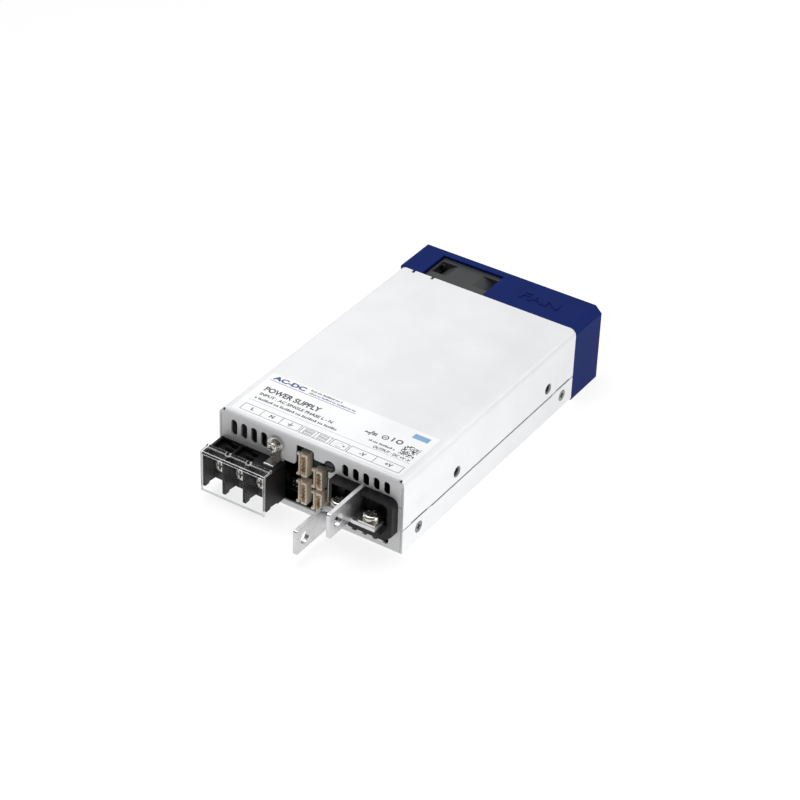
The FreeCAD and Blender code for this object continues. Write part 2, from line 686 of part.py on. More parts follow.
def chassis():
    """Base pan with side strips, lower front panel and the inner side walls."""
    top = SIDE_SEAM - SIDE_SEAM_GAP
    outer = pan_section(0, top, BASE_BEND, 0, 0, BASE_BEND)
    inner = pan_section(SHEET, top + SHEET, BASE_BEND - SHEET, SHEET, SHEET, BASE_BEND - SHEET)
    pan = outer.cut(inner.fuse(box(SHEET, WIDTH - SHEET, DEPTH - SHEET, DEPTH + SHEET, SHEET, top + SHEET)))
    left = SHEET + CORNER_GAP
    right = WIDTH - left
    seam = PANEL_SEAM - SEAM_GAP / 2
    panel = slab([(left, BASE_BEND), (right, BASE_BEND), (right, seam), (OPENING_RIGHT, seam, 1.0),
                  (OPENING_RIGHT, LIP_TOP), (LIP_LEFT, LIP_TOP), (LIP_LEFT, seam, 1.0), (left, seam)],
                 "y", 0, SHEET)
    walls = []
    y0 = INNER_WALL_FROM_FRONT
    y1 = DEPTH - INNER_WALL_FROM_REAR
    for side, inner_face in ((0, SHEET), (WIDTH, WIDTH - SHEET)):
        walls.append(joggled_wall(side, inner_face, y0, y1, top - SHEET * 3, INNER_WALL_TOP))
    gaps = [box(x, x + CORNER_GAP, -SHEET, SHEET, BASE_BEND, top) for x in (SHEET, right)]
    lip_cut = box(LIP_LEFT, OPENING_RIGHT, -SHEET, SHEET, LIP_TOP, HEIGHT)
    groove = [slab([(side, top - JOGGLE), (side + (inner_face - side) * 2, top - JOGGLE),
                    (side + (inner_face - side) * 2, top + SHEET), (side, top + SHEET)], "y", y0, y1)
              for side, inner_face in ((0, SHEET), (WIDTH, WIDTH - SHEET))]
    pan = pan.cut(groove)
    pan = join(pan, panel, *walls)
    cuts = gaps + [lip_cut, slab(ac_boss_outline(0.2), "y", -SHEET, SHEET * 2),
                   slab(out_boss_outline(0.2), "y", -SHEET, SHEET * 2)]
    first = WIDTH - RIGHT_SLOT_FROM_RIGHT
    cuts += slot_row(LOWER_SLOT_COUNT, first, -SLOT_PITCH, LOWER_SLOT_LOW, LOWER_SLOT_HIGH)
    cuts += side_screw_holes()
    cuts += [rod(MOUNT_NUT_R, face, face + inward * SHEET) for face, inward in mount_places()]
    cuts += [rod(STANDOFF_R * 0.7, V(x, y, -SHEET), V(x, y, SHEET * 2)) for x, y in standoff_places()]
    return pan.cut(cuts)


def cover_form(inset):
    """Outer or inner form of the cover: rounded along its sides and its front edge."""
    bend = SIDE_BEND - inset
    high = HEIGHT - inset
    right = WIDTH - inset
    corners = [(inset, SIDE_SEAM), (right, SIDE_SEAM), (right, high, bend), (inset, high, bend)]
    side = slab(corners, "y", inset, DEPTH + inset)
    front = slab([(inset, SIDE_SEAM), (DEPTH + inset, SIDE_SEAM), (DEPTH + inset, high),
                  (inset, high, FRONT_BEND - inset)], "x", inset, WIDTH - inset)
    return side.common(front)


def cover_tab(outer, inner, middle_y):
    """Tab of the cover that steps inwards behind the base pan's side strip."""
    step = SHEET if inner > outer else -SHEET
    y0 = middle_y - TAB_LENGTH / 2
    y1 = middle_y + TAB_LENGTH / 2
    edge = SIDE_SEAM + JOGGLE
    corners = [(outer, edge + JOGGLE * 3), (outer, edge), (inner, SIDE_SEAM), (inner, TAB_BOTTOM),
               (inner + step, TAB_BOTTOM), (inner + step, edge), (inner, edge + JOGGLE),
               (inner, edge + JOGGLE * 3)]
    return slab(corners, "y", y0, y1)


def tab_places():
    """Outer face, inner face and middle of each cover tab."""
    for side, inner_face in ((0, SHEET), (WIDTH, WIDTH - SHEET)):
        for y in (SIDE_SCREW_FROM_FRONT, DEPTH - SIDE_SCREW_FROM_REAR):
            yield side, inner_face, y


def relief_holes():
    """Small holes at the front corners of the top, where the front and side bends meet."""
    holes = []
    for x in (RELIEF_FROM_SIDE, WIDTH - RELIEF_FROM_SIDE):
        start = V(x, -SHEET, HEIGHT + SHEET)
        holes.append(rod(RELIEF_R, start, start + V(0, 1, -1) * SHEET * 3))
    return holes


def latch_slits():
    """Two slits in the cover's rear edge, with the cap's latch tab between them."""
    slits = []
    half = CAP_LATCH_SLIT / 2
    for x in (CAP_LATCH_X - CAP_LATCH_WIDTH / 2, CAP_LATCH_X + CAP_LATCH_WIDTH / 2):
        slits.append(box(x - half, x + half, DEPTH - CAP_LATCH_DEPTH, DEPTH + SHEET,
                         HEIGHT - SHEET * 2, HEIGHT + SHEET))
    return slits


def tongue_cut(seam):
    """Rounded corner of the upper front panel beside the opening, as the block that cuts it."""
    low = seam - SHEET
    high = seam + TONGUE_CUT_HEIGHT
    far = OPENING_LEFT - TONGUE_CUT_WIDTH
    near = OPENING_LEFT + SHEET
    return slab([(far, low), (near, low), (near, high), (OPENING_LEFT, high),
                 (OPENING_LEFT, seam, TONGUE_CUT_BEND), (far, seam)], "y", -SHEET, SHEET * 2)


def top_cover():
    """Top sheet with two sides, upper front panel, slots and tabs."""
    shell = cover_form(0).cut(cover_form(SHEET))
    shell = shell.cut(box(SHEET, WIDTH - SHEET, DEPTH - SHEET, DEPTH + SHEET, SIDE_SEAM, HEIGHT - SHEET))
    seam = PANEL_SEAM + SEAM_GAP / 2
    left = SHEET + CORNER_GAP
    high = HEIGHT - SIDE_BEND
    cuts = [box(SHEET, WIDTH - SHEET, -SHEET, SHEET, 0, seam), box(SHEET, left, -SHEET, SHEET, 0, high),
            box(WIDTH - left, WIDTH - SHEET, -SHEET, SHEET, 0, high), panel_holes()]
    cuts.append(tongue_cut(seam))
    cuts += slot_row(LEFT_SLOT_COUNT, LEFT_SLOT_X, SLOT_PITCH, LEFT_SLOT_LOW, LEFT_SLOT_HIGH)
    first = WIDTH - RIGHT_SLOT_FROM_RIGHT
    cuts += slot_row(RIGHT_SLOT_COUNT, first, -SLOT_PITCH, RIGHT_SLOT_LOW, RIGHT_SLOT_HIGH)
    cuts += latch_slits() + relief_holes()
    cuts += [rod(MOUNT_NUT_R, face - inward * SHEET * 2, face) for face, inward in mount_places()]
    cuts.append(rod(EARTH_SCREW_R, V(EARTH_X, -SHEET, EARTH_Z), V(EARTH_X, SHEET * 2, EARTH_Z)))
    grooves = []
    for outer, inner, middle in tab_places():
        side = sorted((outer, outer + (inner - outer) * 2))
        grooves.append(box(side[0], side[1], middle - TAB_LENGTH / 2, middle + TAB_LENGTH / 2,
                           SIDE_SEAM - SHEET, SIDE_SEAM + JOGGLE))
    shell = shell.cut(cuts + grooves)
    tabs = [cover_tab(*place) for place in tab_places()]
    return join(shell, *tabs).cut(side_screw_holes())


def ac_wall_x(index):
    """Left face of one of the AC block's walls."""
    return AC_LEFT + AC_PITCH * index


def ac_cell_middle(index):
    """Middle of one pole of the AC block."""
    return ac_wall_x(index) + (AC_PITCH + AC_WALL) / 2


def ac_wall_side():
    """Side outline of one dividing wall, with its sloping lower edge."""
    low = AC_BOTTOM
    return [(0, low), (-AC_REACH * 0.74, low + 1.5), (-AC_REACH * 0.78, low + 0.6),
            (-AC_REACH + 0.6, low + 0.6), (-AC_REACH, low + 1.2), (-AC_REACH, AC_TOP - 0.6),
            (-AC_REACH + 0.6, AC_TOP), (0, AC_TOP)]


def ac_bar(index):
    """Terminal bar of one pole: front plate, lead through the block and leg down to the board."""
    middle = ac_cell_middle(index)
    half = AC_PLATE_WIDTH / 2
    low = AC_SCREW_Z - AC_PLATE_HEIGHT / 2
    face = box(middle - half, middle + half, -AC_BACK - AC_BAR, -AC_BACK, low, low + AC_PLATE_HEIGHT)
    half = AC_LEAD_WIDTH / 2
    lead = slab([(-AC_BACK - AC_BAR, AC_LEAD_Z), (AC_LEAD_REACH, AC_LEAD_Z), (AC_LEAD_REACH, BOARD_TOP),
                 (AC_LEAD_REACH + AC_BAR, BOARD_TOP), (AC_LEAD_REACH + AC_BAR, AC_LEAD_Z + AC_BAR),
                 (-AC_BACK - AC_BAR, AC_LEAD_Z + AC_BAR)], "x", middle - half, middle + half)
    return join(face, lead)


def ac_screw_seat():
    """Distance in front of the panel of the clamp plate's front face."""
    return AC_BACK + AC_BAR + AC_CLAMP


def ac_screw(index):
    """Terminal screw of one pole."""
    top = V(ac_cell_middle(index), -ac_screw_seat() - AC_SCREW_HEAD, AC_SCREW_Z)
    length = ac_screw_seat() - 1.0
    return pan_screw(top, V(0, 1, 0), AC_SCREW_HEAD_R, AC_SCREW_HEAD, AC_SCREW_R, length, V(1, 0, 0))


def ac_clamp(index):
    """Square clamp plate of one pole, with its lower corners turned."""
    middle = ac_cell_middle(index)
    half = AC_CLAMP_WIDTH / 2
    plate = slab([(middle - half, AC_SCREW_Z - half, 0.8), (middle + half, AC_SCREW_Z - half, 0.8),
                  (middle + half, AC_SCREW_Z + half, 0.8), (middle - half, AC_SCREW_Z + half, 0.8)],
                 "y", -ac_screw_seat(), -AC_BACK - AC_BAR)
    return plate.cut(rod(AC_SCREW_R, V(middle, -AC_REACH, AC_SCREW_Z), V(middle, 0, AC_SCREW_Z)))


def ac_rib_fingers(index):
    """Three fingers that reach left from a dividing wall across the recess in the block's top."""
    right = ac_wall_x(index + 1)
    fingers = []
    for step, length in enumerate((AC_FINGER, AC_FINGER_MIDDLE, AC_FINGER)):
        y = -AC_FINGER_FIRST - AC_FINGER_PITCH * step
        fingers.append(box(right - length, right, y - AC_RIB / 2, y + AC_RIB / 2,
                           AC_TOP - AC_RECESS - 0.5, AC_TOP))
    return fingers


def ac_terminal_block():
    """Three-pole moulding with dividing walls, recessed top and hinge lugs."""
    back = box(AC_LEFT, AC_RIGHT, -AC_BACK, 0, AC_BOTTOM, AC_TOP)
    deck = box(AC_LEFT, AC_RIGHT, -AC_DECK, 0, AC_TOP - AC_DECK_THICK, AC_TOP)
    boss = slab(ac_boss_outline(0), "y", 0, AC_BOSS)
    walls = [slab(ac_wall_side(), "x", ac_wall_x(i), ac_wall_x(i) + AC_WALL) for i in range(AC_POLES + 1)]
    body = join(back, deck, boss, *walls)
    recesses = []
    for index in range(AC_POLES - 1):
        recesses.append(box(ac_wall_x(index) + AC_WALL, ac_wall_x(index + 1), -AC_DECK + AC_RIB, -AC_RIB,
                            AC_TOP - AC_RECESS, AC_TOP + 1))
    body = body.cut(recesses)
    fingers = [finger for index in range(AC_POLES - 1) for finger in ac_rib_fingers(index)]
    body = join(body, *fingers)
    bars = [ac_bar(index) for index in range(AC_POLES)]
    middles = [ac_cell_middle(index) for index in range(AC_POLES)]
    holes = [rod(AC_SCREW_R, V(x, -AC_REACH, AC_SCREW_Z), V(x, -1.0, AC_SCREW_Z)) for x in middles]
    body = body.cut(bars + holes + [earth_plate()])
    lugs = []
    for index in range(1, AC_POLES):
        x = ac_wall_x(index)
        tower = box(x, x + AC_WALL, -LID_HINGE_Y - LID_BARREL_R, -LID_HINGE_Y + LID_BARREL_R,
                    AC_TOP - 1, LID_HINGE_Z)
        head = rod(LID_BARREL_R, V(x, -LID_HINGE_Y, LID_HINGE_Z), V(x + AC_WALL, -LID_HINGE_Y, LID_HINGE_Z))
        lugs += [tower, head]
    bore_r = LID_PIN_R + LID_PIN_PLAY
    bore = rod(bore_r, V(0, -LID_HINGE_Y, LID_HINGE_Z), V(WIDTH, -LID_HINGE_Y, LID_HINGE_Z))
    return join(body, *lugs).cut(bore)


def ac_terminal_cover():
    """Clear cover: front plate with a raised rim, top flange and hinge barrel in segments."""
    back = -AC_REACH - LID_GAP
    front = back - LID_WALL
    top = LID_HINGE_Z + LID_TOP_OVER_HINGE
    left = AC_LEFT
    right = AC_RIGHT
    side = [(front, LID_BOTTOM), (back, LID_BOTTOM), (back, top - LID_WALL), (-LID_HINGE_Y, top - LID_WALL),
            (-LID_HINGE_Y, top), (front, top, 0.7)]
    body = slab(side, "x", left, right)
    panel = box(left + LID_RIM, right - LID_RIM, front, front + LID_RIM_DEPTH, LID_BOTTOM + LID_RIM,
                top - LID_WALL - LID_RIM)
    body = body.cut(panel)
    barrel = rod(LID_BARREL_R, V(left, -LID_HINGE_Y, LID_HINGE_Z), V(right, -LID_HINGE_Y, LID_HINGE_Z))
    body = join(body, barrel)
    clearances = []
    for index in range(1, AC_POLES):
        x = ac_wall_x(index)
        reach = LID_BARREL_R + LID_SIDE_PLAY
        low_x = x - LID_SIDE_PLAY
        high_x = x + AC_WALL + LID_SIDE_PLAY
        y = -LID_HINGE_Y
        clearances.append(rod(reach, V(low_x, y, LID_HINGE_Z), V(high_x, y, LID_HINGE_Z)))
        clearances.append(box(low_x, high_x, y - reach, y + reach, AC_TOP, LID_HINGE_Z))
    body = body.cut(clearances)
    pin = rod(LID_PIN_R, V(left + 1, -LID_HINGE_Y, LID_HINGE_Z), V(right - 1, -LID_HINGE_Y, LID_HINGE_Z))
    return join(body, pin)


def earth_plate():
    """Earth link: tongue on the third pole's top, then up the panel to the earth screw."""
    half = EARTH_STRIP / 2
    sheet = EARTH_SHEET
    front = -EARTH_REACH
    link = slab([(front, AC_TOP - EARTH_LIP), (front + sheet, AC_TOP - EARTH_LIP), (front + sheet, AC_TOP),
                 (0, AC_TOP), (0, EARTH_Z), (-sheet, EARTH_Z), (-sheet, AC_TOP + sheet),
                 (front, AC_TOP + sheet, 0.6)], "x", EARTH_X - half, EARTH_X + half)
    ear = rod(half, V(EARTH_X, -sheet, EARTH_Z), V(EARTH_X, 0, EARTH_Z))
    hole = rod(EARTH_SCREW_R, V(EARTH_X, -AC_REACH, EARTH_Z), V(EARTH_X, SHEET, EARTH_Z))
    return join(link, ear).cut(hole)


def earth_stack():
    """Distances in front of the panel of the earth stack's faces, from the plate outwards."""
    faces = [EARTH_SHEET]
    for thick in (EARTH_CUP, EARTH_WASHER, EARTH_SPRING, EARTH_HEAD):
        faces.append(faces[-1] + thick)
    return faces


def earth_ring(radius, low, high):
    """Round washer of the earth stack."""
    outer = rod(radius, V(EARTH_X, -high, EARTH_Z), V(EARTH_X, -low, EARTH_Z))
    return outer.cut(rod(EARTH_SCREW_R, V(EARTH_X, -high, EARTH_Z), V(EARTH_X, -low, EARTH_Z)))


def earth_spring_washer():
    """Split spring washer under the earth screw's head."""
    faces = earth_stack()
    ring = earth_ring(EARTH_SPRING_R, faces[2], faces[3])
    split = box(EARTH_X + EARTH_SCREW_R / 2, EARTH_X + EARTH_SPRING_R + 1, -faces[3] - 1, -faces[2] + 1,
                EARTH_Z - 0.3, EARTH_Z + 0.3)
    return ring.cut(split)


def earth_nut():
    """Hexagon nut behind the panel."""
    reach = EARTH_NUT_AF / math.sqrt(3)
    turns = [math.radians(60 * index) for index in range(6)]
    corners = [(EARTH_X + reach * math.cos(turn), EARTH_Z + reach * math.sin(turn)) for turn in turns]
    body = slab(corners, "y", SHEET, SHEET + EARTH_NUT)
    return body.cut(rod(EARTH_SCREW_R, V(EARTH_X, SHEET, EARTH_Z), V(EARTH_X, SHEET + EARTH_NUT, EARTH_Z)))


def earth_screw():
    """Cross-recessed screw of the earth connection."""
    faces = earth_stack()
    top = V(EARTH_X, -faces[4], EARTH_Z)
    length = faces[3] + SHEET + EARTH_NUT
    return pan_screw(top, V(0, 1, 0), EARTH_HEAD_R, EARTH_HEAD, EARTH_SCREW_R, length, V(1, 0, 0))


def header_length(pins):
    """Outer length of a header with that many pins in each row."""
    return pins * PIN_PITCH + HEADER_END * 2


def signal_header(x, z, pins):
    """Shrouded header: walls round two rows of pins, with flared and notched ends."""
    length = header_length(pins)
    front = -HEADER_FRONT
    back = SIGNAL_BOARD_Y
    body = box(x, x + HEADER_WIDTH, front, back, z, z + length)
    flare = 1.6
    for low in (z, z + length - HEADER_END):
        body = body.fuse(box(x - HEADER_EAR, x, front, front + flare, low, low + HEADER_END))
    wall = HEADER_WALL
    cavity = box(x + wall, x + HEADER_WIDTH - wall, front - 1, back - HEADER_BASE,
                 z + HEADER_END, z + length - HEADER_END)
    notch = box(x + wall, x + wall + 0.9, front - 1, front + flare, z - 1, z + length + 1)
    return body.removeSplitter().cut([cavity, notch])


def header_places():
    """Name, left side, lower end and pins in each row of the four signal headers."""
    return (("upper_left", HEADER_LEFT_X, LONG_TOP - header_length(LONG_PINS), LONG_PINS),
            ("lower_left", HEADER_LEFT_X, HEADER_LONG_LOW_Z, LONG_PINS),
            ("upper_right", HEADER_RIGHT_X, SHORT_TOP - header_length(SHORT_PINS), SHORT_PINS),
            ("lower_right", HEADER_RIGHT_X, HEADER_SHORT_LOW_Z, SHORT_PINS))


def header_pins():
    """Square pins of all four headers, each standing on its header's floor."""
    pins = []
    floor = SIGNAL_BOARD_Y - HEADER_BASE
    half = PIN_SIZE / 2
    for _, x, z, count in header_places():
        middle = x + HEADER_WIDTH / 2
        for side in (-1, 1):
            for index in range(count):
                px = middle + side * PIN_PITCH / 2
                pz = z + HEADER_END + PIN_PITCH * (index + 0.5)
                pins.append(box(px - half, px + half, floor - PIN_REACH + 0.4, floor, pz - half, pz + half))
    return pins


def signal_board():
    """Upright board that carries the headers and the trimmer."""
    right = TRIMMER_X + SIGNAL_BOARD_PAST_TRIMMER
    low = OUT_BOSS_TOP + SIGNAL_BOARD_OVER_BOSS
    step = OUT_LEFT - 1.0
    corners = [(SIGNAL_BOARD_LEFT, SHEET + FILM), (step, SHEET + FILM), (step, low), (right, low),
               (right, SIGNAL_BOARD_TOP), (SIGNAL_BOARD_LEFT, SIGNAL_BOARD_TOP)]
    return slab(corners, "y", SIGNAL_BOARD_Y, SIGNAL_BOARD_Y + BOARD_THICK)


def trimmer_body():
    """Square body of the output-voltage trimmer."""
    half = TRIMMER_BODY / 2
    body = box(TRIMMER_X - half, TRIMMER_X + half, SIGNAL_BOARD_Y - TRIMMER_BODY_DEPTH, SIGNAL_BOARD_Y,
               TRIMMER_Z - half, TRIMMER_Z + half)
    front = SIGNAL_BOARD_Y - TRIMMER_BODY_DEPTH
    bore = rod(TRIMMER_SHAFT_R + TRIMMER_SHAFT_PLAY, V(TRIMMER_X, front - 1, TRIMMER_Z),
               V(TRIMMER_X, front + 1.8, TRIMMER_Z))
    return body.cut(bore)


def trimmer_rotor():
    """Slotted adjusting disc with its short shaft."""
    front = SIGNAL_BOARD_Y - TRIMMER_BODY_DEPTH
    back = front - TRIMMER_DISC_GAP
    disc = rod(TRIMMER_DISC_R, V(TRIMMER_X, back - TRIMMER_DISC, TRIMMER_Z), V(TRIMMER_X, back, TRIMMER_Z))
    shaft = rod(TRIMMER_SHAFT_R, V(TRIMMER_X, back - 0.5, TRIMMER_Z), V(TRIMMER_X, front + 1.5, TRIMMER_Z))
    half = TRIMMER_SLOT / 2
    slot = box(TRIMMER_X - TRIMMER_DISC_R, TRIMMER_X + TRIMMER_DISC_R, back - TRIMMER_DISC - 1,
               back - TRIMMER_DISC + 0.6, TRIMMER_Z - half, TRIMMER_Z + half)
    return join(disc, shaft).cut(slot)


def output_bays():
    """Two open bays in the output moulding, as the blocks that cut them."""
    left = OUT_LEFT + OUT_SIDE_WALL
    right = OUT_RIGHT - OUT_WALL
    high = OUT_TOP - OUT_RIM
    blade = OUT_DIVIDER_X + OUT_DIVIDER
    plus = slab([(blade, FOOT_Z), (right, FOOT_Z), (right, high, OUT_CORNER * 0.6), (blade, high)],
                "y", -OUT_DEPTH - 1, -OUT_BACK)
    minus = slab([(left, FOOT_Z), (OUT_DIVIDER_X, FOOT_Z), (OUT_DIVIDER_X, high), (left, high)],
                 "y", -OUT_DEPTH - 1, -OUT_BACK)
    notch = box(blade, blade + BAR_THICK + BLADE_GAP, -OUT_DEPTH - 1, -PLUS_BLADE_REAR, FOOT_Z, OUT_TOP + 1)
    return [plus, minus, notch]


def output_terminal_base():
    """Output moulding: frame with two bays, shelves under the busbar feet and a rear boss."""
    step_x = OUT_LEFT + OUT_STEP_WIDTH
    frame = slab([(step_x, OUT_BOTTOM, 0.8), (OUT_RIGHT - OUT_CHAMFER, OUT_BOTTOM),
                  (OUT_RIGHT, OUT_BOTTOM + OUT_CHAMFER), (OUT_RIGHT, OUT_TOP, OUT_CORNER),
                  (OUT_LEFT, OUT_TOP, 0.8), (OUT_LEFT, OUT_STEP_BOTTOM), (step_x, OUT_STEP_BOTTOM)],
                 "y", -OUT_DEPTH, 0)
    frame = frame.cut(output_bays())
    boss = slab(out_boss_outline(0), "y", 0, OUT_BOSS)
    shelves = []
    for middle in (MINUS_SCREW_X, PLUS_SCREW_X):
        half = OUT_TAB_WIDTH / 2 + OUT_SHELF_SIDE
        side = [(-OUT_SHELF_REACH, OUT_SHELF_BOTTOM + 1.2, 0.8), (-OUT_DEPTH + 0.5, OUT_SHELF_BOTTOM),
                (-OUT_DEPTH + 0.5, FOOT_Z), (-OUT_SHELF_REACH, FOOT_Z)]
        shelves.append(slab(side, "x", middle - half, middle + half))
    rib_x = OUT_LEFT + OUT_SIDE_WALL + OUT_RIB_X
    rib = box(rib_x, rib_x + OUT_RIB, -OUT_BACK - OUT_RIB_DEPTH, -OUT_BACK,
              FOOT_TOP + 2.5, OUT_TOP - OUT_RIM)
    cuts = [output_tab(MINUS_SCREW_X), output_tab(PLUS_SCREW_X)]
    for middle in (MINUS_SCREW_X, PLUS_SCREW_X):
        cuts.append(rod(OUT_SCREW_R + 0.2, V(middle, OUT_SCREW_Y, OUT_SHELF_BOTTOM + 0.8),
                        V(middle, OUT_SCREW_Y, FOOT_Z + 1)))
    return join(frame, boss, *shelves, rib).cut(cuts)


def output_tab(middle):
    """Inner busbar end under a foot, through the moulding and down to the board."""
    half = OUT_TAB_WIDTH / 2
    side = slab([(-OUT_SHELF_REACH + 0.8, FOOT_Z - BAR_THICK), (OUT_TAB_REACH, FOOT_Z - BAR_THICK),
                 (OUT_TAB_REACH, BOARD_TOP), (OUT_TAB_REACH + BAR_THICK, BOARD_TOP),
                 (OUT_TAB_REACH + BAR_THICK, FOOT_Z), (-OUT_SHELF_REACH + 0.8, FOOT_Z)],
                "x", middle - half, middle + half)
    return side.cut(rod(OUT_SCREW_R, V(middle, OUT_SCREW_Y, 0), V(middle, OUT_SCREW_Y, HEIGHT)))


def busbar_section(blade_x, foot_end, blade_end, upward):
    """Bent cross-section of a busbar: foot to the right, blade up or down from its left end."""
    outer = BAR_BEND + BAR_THICK
    right = blade_x + BAR_THICK
    if upward:
        return [(blade_x, FOOT_Z, outer), (foot_end, FOOT_Z), (foot_end, FOOT_TOP),
                (right, FOOT_TOP, BAR_BEND), (right, blade_end), (blade_x, blade_end)]
    return [(blade_x, FOOT_TOP, outer), (blade_x, blade_end), (right, blade_end),
            (right, FOOT_Z, BAR_BEND), (foot_end, FOOT_Z), (foot_end, FOOT_TOP)]


def busbar_blade(blade_x, front, rear, low):
    """Flat end of a busbar, drilled for the customer's cable lug."""
    high = low + BLADE_HEIGHT
    blade = slab([(-front, low, 0.8), (-rear, low), (-rear, high), (-front, high, 0.8)],
                 "x", blade_x, blade_x + BAR_THICK)
    y = -front + BLADE_HOLE_FROM_END
    z = low + BLADE_HEIGHT / 2
    return blade, rod(BLADE_HOLE_R, V(blade_x - 1, y, z), V(blade_x + BAR_THICK + 1, y, z))


def busbar_plus():
    """Positive busbar: its blade turns up beside the divider."""
    blade_x = PLUS_BLADE_X
    low = FOOT_Z + BLADE_SHOULDER
    section = busbar_section(blade_x, PLUS_SCREW_X + FOOT_PAST_SCREW, low + BLADE_HEIGHT, True)
    blade, hole = busbar_blade(blade_x, PLUS_BLADE_FRONT, PLUS_BLADE_REAR, low)
    screw_hole = rod(OUT_SCREW_R, V(PLUS_SCREW_X, OUT_SCREW_Y, 0), V(PLUS_SCREW_X, OUT_SCREW_Y, HEIGHT))
    return join(slab(section, "y", -FOOT_FRONT, -FOOT_REAR), blade).cut([hole, screw_hole])


def busbar_minus():
    """Negative busbar: its blade turns down in front of the moulding."""
    blade_x = MINUS_BLADE_X
    rear = OUT_DEPTH + BLADE_GAP
    low = FOOT_TOP - BLADE_DROP - BLADE_HEIGHT
    section = busbar_section(blade_x, MINUS_SCREW_X + FOOT_PAST_SCREW, low, False)
    blade, hole = busbar_blade(blade_x, MINUS_BLADE_FRONT, rear, low)
    screw_hole = rod(OUT_SCREW_R, V(MINUS_SCREW_X, OUT_SCREW_Y, 0), V(MINUS_SCREW_X, OUT_SCREW_Y, HEIGHT))
    past_wall = box(blade_x - 1, blade_x + BAR_THICK + BAR_BEND + BLADE_GAP, -rear, 0, 0, FOOT_TOP + 1)
    return join(slab(section, "y", -FOOT_FRONT, -FOOT_REAR), blade).cut([hole, screw_hole, past_wall])


def output_screw(middle):
    """Pan head screw that clamps a busbar's foot."""
    top = V(middle, OUT_SCREW_Y, FOOT_TOP + OUT_WASHER_THICK + OUT_SCREW_HEAD)
    length = OUT_WASHER_THICK + OUT_SCREW_LENGTH - 1.5
    return pan_screw(top, V(0, 0, -1), OUT_SCREW_HEAD_R, OUT_SCREW_HEAD, OUT_SCREW_R, length, V(1, 0, 0))


def square_washer(middle):
    """Square washer under an output screw's head."""
    half = OUT_WASHER / 2
    y = OUT_SCREW_Y
    corners = [(middle - half, y - half, 0.6), (middle + half, y - half, 0.6),
               (middle + half, y + half, 0.6), (middle - half, y + half, 0.6)]
    plate = slab(corners, "z", FOOT_TOP, FOOT_TOP + OUT_WASHER_THICK)
    return plate.cut(rod(OUT_SCREW_R, V(middle, y, 0), V(middle, y, HEIGHT)))


def main_board():
    """Main circuit board on its stand-offs."""
    board = box(BOARD_LEFT, BOARD_RIGHT, BOARD_FRONT, BOARD_REAR, BOARD_Z, BOARD_TOP)
    return board.cut([rod(BOARD_SCREW_R, V(x, y, 0), V(x, y, HEIGHT)) for x, y in standoff_places()])


def insulation_sheet():
    """Thin insulating sheet between the base pan and the main board."""
    sheet = box(INNER_LEFT + FILM_GAP, INNER_RIGHT - FILM_GAP, SHEET + FILM_GAP * 2, BOARD_REAR,
                SHEET, SHEET + FILM)
    return sheet.cut([rod(STANDOFF_R + FILM_GAP, V(x, y, 0), V(x, y, HEIGHT)) for x, y in standoff_places()])


def board_standoffs():
    """Stand-offs pressed into the base pan."""
    posts = []
    for x, y in standoff_places():
        post = rod(STANDOFF_R, V(x, y, SHEET), V(x, y, BOARD_Z))
        spigot = rod(STANDOFF_R * 0.7, V(x, y, 0), V(x, y, SHEET))
        bore = rod(BOARD_SCREW_R, V(x, y, SHEET), V(x, y, BOARD_Z))
        posts.append(join(post, spigot).cut(bore))
    return posts


def board_screws():
    """Screws that hold the main board on its stand-offs."""
    screws = []
    for x, y in standoff_places():
        head = rod(BOARD_SCREW_HEAD_R, V(x, y, BOARD_TOP), V(x, y, BOARD_TOP + BOARD_SCREW_HEAD))
        shank = rod(BOARD_SCREW_R, V(x, y, SHEET * 2), V(x, y, BOARD_TOP))
        screws.append(join(head, shank))
    return screws


def on_board(x0, x1, y0, y1, height):
    """Block that stands on the main board."""
    return box(x0, x1, y0, y1, BOARD_TOP, BOARD_TOP + height)


def toroid(x, y, outer, inner, height):
    """Wound ring core that lies flat on a round foot."""
    z = BOARD_TOP
    low = CHOKE_FOOT
    foot = rod((outer + inner) / 2 + CHOKE_FOOT_RIM, V(x, y, z), V(x, y, z + low))
    section = outline([(inner, low, CHOKE_ROUNDING), (outer, low, CHOKE_ROUNDING),
                       (outer, low + height, CHOKE_ROUNDING), (inner, low + height, CHOKE_ROUNDING)],
                      on_plane("y", 0))
    ring = Part.Face(section).revolve(V(0, 0, 0), V(0, 0, 1), 360)
    ring.translate(V(x, y, z))
    return join(foot, ring)


def can_capacitor(x, y, radius, height):
    """Electrolytic capacitor: crimped can standing on the board."""
    z = BOARD_TOP
    can = rod(radius, V(x, y, z), V(x, y, z + height))
    groove = rod(radius + 1, V(x, y, z + 2.0), V(x, y, z + 3.0))
    core = rod(radius * 0.94, V(x, y, z), V(x, y, z + 4))
    return can.cut(groove.cut(core))


def finned_plate(x, y0, y1, fin_side):
    """Upright heatsink plate along y with horizontal fins on one side."""
    plate = on_board(x, x + HEATSINK_THICK, y0, y1, HEATSINK_HEIGHT)
    fins = []
    for index in range(FIN_COUNT):
        z = BOARD_TOP + HEATSINK_HEIGHT - FIN_THICK - index * (HEATSINK_HEIGHT / (FIN_COUNT + 1))
        start = x + HEATSINK_THICK if fin_side > 0 else x - FIN_LENGTH
        fins.append(box(start, start + FIN_LENGTH, y0, y1, z, z + FIN_THICK))
    return join(plate, *fins)


